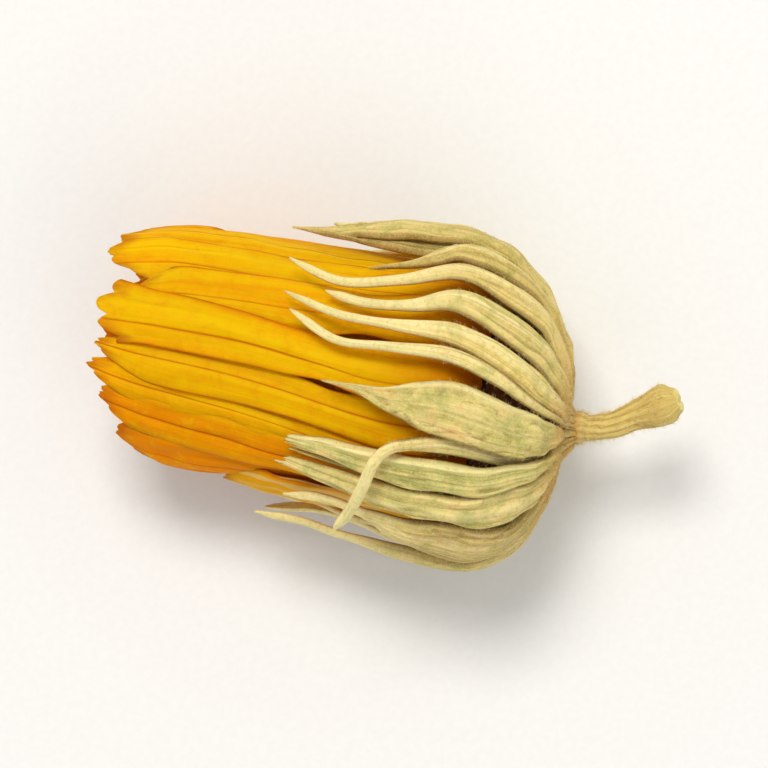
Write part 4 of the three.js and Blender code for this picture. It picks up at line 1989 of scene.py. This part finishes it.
@dataclass
class Down:
    """Short pale hairs on the backs and margins of the bracts and on the stem, each a thin bent cone."""

    name: str
    slot: str
    seed: int
    doublings: int
    length: tuple[float, float] = (0.1, 0.26)
    width: float = 0.009
    point: float = 0.25
    bend: float = 0.35
    lean: float = 0.5
    tangle: float = 0.4
    rooted: float = 0.03

    def count(self) -> int:
        """How many hairs it has."""
        return 2**self.doublings

    def tuft(self) -> bpy.types.Mesh:
        """Makes one hair and doubles it until there are enough.

        Returns:
            A mesh in which all the hairs stand in one place, one after the other.
        """
        bm = bmesh.new()
        bmesh.ops.create_cone(
            bm, cap_ends=True, cap_tris=True, segments=3, radius1=1.0, radius2=self.point, depth=1.0
        )
        bmesh.ops.subdivide_edges(bm, edges=upright(bm, 0.5), cuts=1)
        for _ in range(self.doublings):
            bmesh.ops.duplicate(bm, geom=[*bm.verts, *bm.edges, *bm.faces])
        return Piece.mesh(bm, self.name)

    def grow(
        self, roots: Array, outward: Array, ahead: Array, material: bpy.types.Material
    ) -> bpy.types.Object:
        """Grows one hair at each root.

        Args:
            roots: Where they grow, in millimetres.
            outward: The way that the surface faces at each.
            ahead: The way to the tip of what carries it.
            material: Their finish.

        Returns:
            The piece.
        """
        mesh = self.tuft()
        draws = np.random.default_rng(self.seed)
        one = Piece.points(mesh).reshape(self.count(), -1, 3)
        lengths = draws.uniform(*self.length, self.count())
        stand = unit(outward + self.lean * ahead + draws.normal(0.0, self.tangle, roots.shape))
        aside = unit(np.cross(stand, draws.normal(0.0, 1.0, roots.shape)))
        square = np.cross(stand, aside)
        up = one[..., 2] + 0.5
        bent = self.bend * lengths[:, None] * up**2
        points = (
            roots[:, None]
            + stand[:, None] * (up * lengths[:, None] - self.rooted)[..., None]
            + aside[:, None] * (one[..., 0] * self.width + bent)[..., None]
            + square[:, None] * (one[..., 1] * self.width)[..., None]
        )
        Piece.move(mesh, points.reshape(-1, 3))
        Piece.mark(mesh, reach=up.ravel())
        Piece.close(mesh)
        return Piece.finish(mesh, material, self.slot, [])


def bract_down(rings: list[BractRing], count: int, seed: int) -> tuple[Array, Array, Array]:
    """Picks where the bracts' hairs grow: all over their backs, and thickest along their margins and feet.

    Args:
        rings: The rings of bracts.
        count: How many hairs there are in all.
        seed: The seed of the draw.

    Returns:
        The roots in millimetres, the way the surface faces there, and the way to the bract's tip.
    """
    back_end, drooping_end, foot_end = 0.66, 0.95, 0.14
    at_feet, at_margins, margin = 0.25, 0.4, 0.98
    draws = np.random.default_rng(seed)
    bracts = [b for ring in rings for b in ring.blades if ring.start < 0 or b.plan.tip is Tip.DROOPING]
    found = []
    for bract, share in zip(bracts, np.array_split(np.arange(count), len(bracts))):
        hairs = len(share)
        t = draws.uniform(0.02, drooping_end if bract.plan.tip is Tip.DROOPING else back_end, hairs)
        at_foot = draws.uniform(0, 1, hairs) < at_feet
        t = np.where(at_foot, draws.uniform(0.0, foot_end, hairs) + 0.9 * bract.start, t)
        across = draws.uniform(-1, 1, hairs)
        at_edge = draws.uniform(0, 1, hairs) < at_margins
        across = np.where(at_edge, np.sign(across) * margin, across)
        points, out = bract.skin(t, across, 0.5)
        sideways = unit(bract.surface(t, across) - bract.surface(t, across * 0.9))
        forward = unit(bract.surface(np.minimum(t + 0.01, 1.0), across) - bract.surface(t - 0.01, across))
        found.append((points, np.where(at_edge[:, None], 0.35 * out + sideways, out), forward))
    roots, outward, ahead = (np.concatenate(rows) for rows in zip(*found))
    return roots, outward, ahead


def stem_down(stem: Stem, count: int, seed: int) -> tuple[Array, Array, Array]:
    """Picks where the stem's hairs grow.

    Args:
        stem: The stem.
        count: How many hairs it has.
        seed: The seed of the draw.

    Returns:
        The roots in millimetres, the way the surface faces there, and the way to the cut.
    """
    draws = np.random.default_rng(seed)
    azimuth, t = draws.uniform(-math.pi, math.pi, count), draws.uniform(0.0, 0.97, count)
    roots = stem.skin(azimuth, np.ones(count), t)
    middle = stem.skin(azimuth, np.zeros(count), t)
    return roots, unit(roots - middle), stem.centre.heading(t)


# ------------------------------------------------------------------------------------------- studio


@dataclass
class Studio:
    """A pale floor that curves up all round, soft lamps and the camera above the flower."""

    floor_radius: float = 0.5
    wall_radius: float = 0.95
    wall_height: float = 0.6
    floor_sides: int = 96
    lens: float = 300.0
    sensor: float = 36.0
    view_width: float = 0.0368
    height: float = 0.007
    tilt: float = 11.0
    floor_colour: Colour = paint(240, 239, 236)
    floor_shade: Colour = paint(238, 237, 234)
    warm: Colour = (1.0, 0.97, 0.92, 1.0)
    cool: Colour = (0.95, 0.97, 1.0, 1.0)
    room: Colour = (0.97, 0.98, 1.0, 1.0)
    room_strength: float = 0.52

    def floor(self) -> bpy.types.Object:
        """Spins the floor, flat under the flower and turned up into a wall far from it.

        Returns:
            The floor.
        """
        bend = self.wall_radius - self.floor_radius
        arc = [math.radians(a) for a in range(0, 91, 6)]
        outline = [(0.0, 0.0), (0.05, 0.0)]
        outline += [(self.floor_radius + bend * math.sin(a), bend * (1 - math.cos(a))) for a in arc]
        outline += [(self.wall_radius, self.wall_height)]
        bm = turned(tuple(outline), self.floor_sides)
        middle = min(bm.faces, key=lambda f: f.calc_center_median().length)
        if middle.normal.z < 0:
            bmesh.ops.reverse_faces(bm, faces=bm.faces[:])
        mesh = Piece.mesh(bm, "floor")
        mesh.shade_smooth()
        floor = bpy.data.objects.new("floor", mesh)
        bpy.context.scene.collection.objects.link(floor)
        b = Bench("floor_paper")
        tooth = b.noise(b.place(), 2600.0, detail=3.0)
        colour = b.mix(b.rise(tooth, 0.35, 0.65), self.floor_colour, self.floor_shade)
        mesh.materials.append(b.finish(colour, 0.9, b.bump(tooth, 0.002), Specular_IOR_Level=0.2))
        return floor

    def lamp(
        self, name: str, place: tuple[float, float, float], size: float, power: float, colour: Colour
    ) -> None:
        """Hangs a square soft lamp that shines at the flower.

        Args:
            name: Its name.
            place: Where it hangs, in metres.
            size: Its side, in metres.
            power: Its power, in watts.
            colour: The colour of its light.
        """
        data = bpy.data.lights.new(name, "AREA")
        data.shape, data.size, data.energy, data.color = "SQUARE", size, power, colour[:3]
        lamp = bpy.data.objects.new(name, data)
        bpy.context.scene.collection.objects.link(lamp)
        lamp.location = place
        lamp.rotation_mode = "QUATERNION"
        lamp.rotation_quaternion = (Vector((0, 0, self.height)) - Vector(place)).to_track_quat("-Z", "Y")

    def light(self) -> None:
        """Hangs the lamps and lights the room."""
        self.lamp("key", (-0.14, 0.26, 0.59), size=0.22, power=2.7, colour=self.warm)
        self.lamp("fill", (0.3, -0.35, 0.45), size=0.5, power=0.7, colour=self.cool)
        world = bpy.data.worlds.new("room")
        world.use_nodes = True
        back = world.node_tree.nodes["Background"]
        back.inputs["Color"].default_value = self.room
        back.inputs["Strength"].default_value = self.room_strength
        bpy.context.scene.world = world
        bpy.context.scene.view_settings.view_transform = "Standard"

    def camera(self) -> bpy.types.Object:
        """Hangs the camera straight above the flower.

        Returns:
            The camera.
        """
        data = bpy.data.cameras.new("overhead")
        data.lens, data.sensor_width = self.lens, self.sensor
        data.clip_start, data.clip_end = 0.005, 5.0
        camera = bpy.data.objects.new("overhead", data)
        bpy.context.scene.collection.objects.link(camera)
        camera.location = (0, 0, self.height + self.view_width * self.lens / self.sensor)
        camera.rotation_euler = (0, 0, math.radians(self.tilt))
        bpy.context.scene.camera = camera
        return camera


# --------------------------------------------------------------------------------------- the flower

OUTER_BRACTS = BractRing(
    name="bract_outer",
    node="outer_bract",
    slot="outer_bract",
    crown=0.38,
    columns=32,
    steps=130,
    seed=100,
    profile=(
        (0.5, 1.5),
        (0.7, 3.0),
        (1.2, 4.55),
        (2.2, 6.05),
        (4.0, 7.3),
        (6.5, 7.7),
        (9.0, 7.45),
        (11.5, 7.0),
        (14.0, 6.7),
    ),
    plans=(
        BractPlan(
            (8.5, 8.8, 8.8, 8.5), 8.8, 14.9, 0.1, Tip.BROAD, (2, 16.5), green=0.3, brown=0.22, crumple=0.06
        ),
        BractPlan(
            (27.5, 32.5, 36.5, 38), 5.3, 10.9, 0.1, Tip.POINTED, (16.5, 20.5), green=0.3, brown=0.2,
            crumple=0.06,
        ),
        BractPlan((40, 48.5, 51, 43.5), 4.6, 14.7, 0.5, Tip.THREAD, (22, 39.5), green=0.0, brown=0.1),
        BractPlan((54, 58, 57.5, 54), 5.8, 12.7, 0.2, Tip.THREAD, (41.5, 59), green=0.35, brown=0.05),
        BractPlan((67.6, 67, 65, 61), 5.2, 14.6, 0.5, Tip.THREAD, (61.5, 75), green=0.05, brown=0.0),
        BractPlan((75.6, 75.4, 74.2, 68.2), 3.2, 14.2, 0.3, Tip.THREAD, (75.5, 80), green=0.1, brown=0.0),
        BractPlan(
            (95.2, 94, 92.5, 92.5), 11.3, 12.1, 0.2, Tip.POINTED, (81.7, 103.3), green=0.45, keel=0.7,
            roll=0.16, crumple=0.13,
        ),
        BractPlan(
            (120.1, 121, 122.5, 125), 6.3, 13.4, 0.0, Tip.BLUNT, (106.5, 117), green=0.68, brown=0.0,
            keel=0.6, roll=0.18, crumple=0.06,
        ),
        BractPlan(
            (133.9, 134.7, 135, 135), 5.9, 13.6, 0.1, Tip.BLUNT, (118.5, 137.7), green=0.5, brown=0.1,
            keel=0.8, roll=0.05, crumple=0.06,
        ),
        BractPlan(
            (153, 150, 152.5, 156.7), 12.5, 12.9, 0.1, Tip.THREAD, (143, 169), green=0.25, brown=0.3,
            roll=-0.12, crumple=0.06,
        ),
        BractPlan((182, 183, 181, 178), 8.5, 14.1, 0.4, Tip.THREAD, (171, 191), green=0.4, brown=0.25),
        BractPlan((206, 208, 208, 202), 8.5, 13.7, 0.8, Tip.THREAD, (193, 216), green=0.2, brown=0.3),
        BractPlan((230, 229, 228, 232), 8.0, 12.7, 0.1, Tip.POINTED, (218, 241), green=0.5, brown=0.1),
        BractPlan((254, 254, 256, 255), 8.5, 12.8, 0.0, Tip.BLUNT, (243, 266), green=0.3, brown=0.2),
        BractPlan((279, 280, 280, 283), 8.5, 12.2, 0.0, Tip.POINTED, (268, 290), green=0.4, brown=0.15),
        BractPlan((303, 303, 301, 300), 8.0, 13.6, 0.1, Tip.BLUNT, (292, 313), green=0.2, brown=0.15),
        BractPlan((326, 328, 329, 324), 8.0, 13.3, 0.5, Tip.THREAD, (315, 336.5), green=0.45, brown=0.1),
        BractPlan(
            (348.5, 347.5, 348, 350), 8.5, 13.0, 0.3, Tip.THREAD, (338.5, 358), green=0.3, brown=0.35
        ),
    ),
)

INNER_BRACTS = BractRing(
    name="bract_inner",
    node="inner_bract",
    slot="inner_bract",
    crown=0.24,
    columns=26,
    steps=120,
    seed=200,
    start=0.0,
    profile=(
        (1.15, 1.6),
        (1.4, 2.9),
        (1.85, 4.2),
        (2.8, 5.5),
        (4.3, 6.5),
        (6.5, 6.95),
        (9.0, 6.8),
        (11.5, 6.65),
        (14.0, 6.55),
    ),
    plans=(
        BractPlan((13, 13, 13, 15), 11.0, 14.2, 0.3, Tip.POINTED, green=0.4, brown=0.4),
        BractPlan((108.5,), 4.6, 0.0, 0.0, Tip.DROOPING, green=0.1, brown=0.0),
        BractPlan((127.5, 128, 129, 130), 6.5, 13.0, 0.0, Tip.POINTED, green=0.7, brown=0.1),
        BractPlan((197, 199, 201, 203), 6.5, 13.2, 0.0, Tip.THREAD, green=0.6, brown=0.2),
        BractPlan((218.5, 219, 218, 220), 6.5, 13.6, 0.0, Tip.POINTED, green=0.5, brown=0.2),
        BractPlan((242, 242, 242, 243), 6.5, 13.0, 0.0, Tip.THREAD, green=0.6, brown=0.2),
        BractPlan((266.5, 267, 268, 269), 6.5, 13.3, 0.0, Tip.POINTED, green=0.5, brown=0.2),
        BractPlan((291, 291, 290, 291), 6.5, 13.8, 0.0, Tip.THREAD, green=0.7, brown=0.2),
        BractPlan((314.5, 314, 315, 313), 8.0, 12.9, 0.0, Tip.POINTED, green=0.5, brown=0.2),
        BractPlan((337.5, 338, 338, 340), 8.5, 13.5, 0.0, Tip.THREAD, green=0.6, brown=0.3),
    ),
)

OUTER_PETALS = PetalRing(
    name="petal_outer",
    node="outer_petal",
    slot="outer_petal",
    fold=0.055,
    columns=64,
    steps=120,
    seed=300,
    profile=((4.7, 4.9), (6.2, 5.8), (8.5, 5.8), (12.0, 5.65), (16.0, 5.6), (20.0, 5.35), (23.5, 4.75)),
    plans=(
        PetalPlan(14, 8, 14.5, 23.3, 0.0, Lie.OVER_LAST, orange=0.3, tip=0.9, slant=-0.13),
        PetalPlan(
            37, 11, 13.5, 23.5, 0.0, Lie.OVER_LAST, orange=0.14, tip=0.8, slant=0.07,
            gaps=(0.46, 0.08, 0.0, 0.26),
        ),
        PetalPlan(
            55.5, 11, 13.5, 22.3, 0.0, Lie.OVER_LAST, orange=0.12, tip=0.55, slant=-0.06,
            gaps=(0.46, 0.08, 0.2, 0.3),
        ),
        PetalPlan(
            84.5, -6, 13.7, 23.5, -0.1, Lie.OVER_BOTH, orange=0.0, tip=1.35, slant=0.03, lobes=2.2,
            gaps=(0.5, 0.07, 0.1, 0.24),
        ),
        PetalPlan(
            108.3, -11, 12.5, 23.1, 0.0, Lie.OVER_NEXT, orange=0.22, tip=0.45, gaps=(0.48, 0.07, 0.3, 0.0)
        ),
        PetalPlan(127.5, -17, 10.0, 23.4, 0.15, Lie.OVER_NEXT, orange=0.42, tip=0.65, slant=0.03),
        PetalPlan(142.5, -18, 11.5, 22.7, 0.6, Lie.OVER_NEXT, orange=0.6, slant=0.06),
        PetalPlan(161, -14, 14.0, 21.8, 1.1, Lie.UNDER_BOTH, orange=0.85, tip=0.9, slant=0.16),
        PetalPlan(171.5, -4, 15.5, 15.9, 0.9, Lie.OVER_BOTH, orange=0.5, pale=0.6),
        PetalPlan(208.5, 1, 15.0, 20.6, 0.0, Lie.OVER_NEXT, orange=0.6),
        PetalPlan(235.5, 2, 15.5, 21.6, 0.0, Lie.OVER_NEXT, orange=0.4),
        PetalPlan(263, -1, 15.5, 22.3, 0.0, Lie.UNDER_BOTH, orange=0.5),
        PetalPlan(290.5, 2, 15.5, 22.8, 0.0, Lie.OVER_LAST, orange=0.4),
        PetalPlan(318, -2, 15.5, 21.7, 0.1, Lie.OVER_LAST, orange=0.5),
        PetalPlan(346, 3, 15.5, 22.7, 0.1, Lie.OVER_LAST, orange=0.35, slant=0.14),
    ),
)

MIDDLE_PETALS = PetalRing(
    name="petal_middle",
    node="middle_petal",
    slot="inner_petal",
    fold=0.05,
    columns=44,
    steps=80,
    seed=400,
    profile=((4.9, 3.35), (6.4, 3.85), (8.8, 4.1), (12.0, 4.15), (16.0, 4.1), (20.0, 3.85), (23.5, 3.35)),
    plans=PetalRing.even((22.4, 21.6, 22.9, 21.8, 20.4, 18.9, 20.9, 22.6, 22.0), 8, 24, 0.6),
)

INNER_PETALS = PetalRing(
    name="petal_inner",
    node="inner_petal",
    slot="inner_petal",
    fold=0.05,
    columns=36,
    steps=60,
    seed=450,
    profile=((5.05, 2.45), (6.6, 2.65), (9.0, 2.65), (12.0, 2.45), (16.0, 2.15), (20.0, 1.75), (23.5, 1.3)),
    plans=PetalRing.even((21.4, 22.3, 20.8, 21.9, 22.5), 35, 42, 0.7),
)


def main() -> None:
    """Builds the studio and the flower, piece by piece, and logs how many pieces each ring has."""
    logging.basicConfig(level=logging.INFO, format="%(message)s", stream=sys.stdout)
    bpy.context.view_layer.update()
    studio = Studio()
    studio.camera()
    studio.light()
    studio.floor()

    bract = BractFinish().make()
    petal = PetalFinish().make()
    down = DownFinish().make()

    stem = Stem()
    stem.build(StemFinish().make())
    # The receptacle's own tissue colours, darkened to deep brown as painted shade where it shows between the
    # bracts.
    Receptacle().build(CoreFinish("receptacle_tan_in_shade", paint(140, 92, 34), paint(84, 50, 16)).make())
    DiscFlorets().build(CoreFinish("disc_orange", paint(226, 138, 22), paint(150, 74, 12), patch=0.3).make())
    for ring in (OUTER_BRACTS, INNER_BRACTS):
        log.info("%s: %d pieces", ring.name, len(ring.build(bract)))
    for ring in (OUTER_PETALS, MIDDLE_PETALS, INNER_PETALS):
        log.info("%s: %d pieces", ring.name, len(ring.build(petal)))
    on_bracts = Down("bract_down", "outer_bract", seed=7, doublings=13)
    on_bracts.grow(*bract_down([OUTER_BRACTS, INNER_BRACTS], on_bracts.count(), seed=8), down)
    on_stem = Down("stem_down", "stem", seed=9, doublings=10, length=(0.15, 0.4))
    on_stem.grow(*stem_down(stem, on_stem.count(), seed=10), down)


if __name__ == "__main__":
    main()
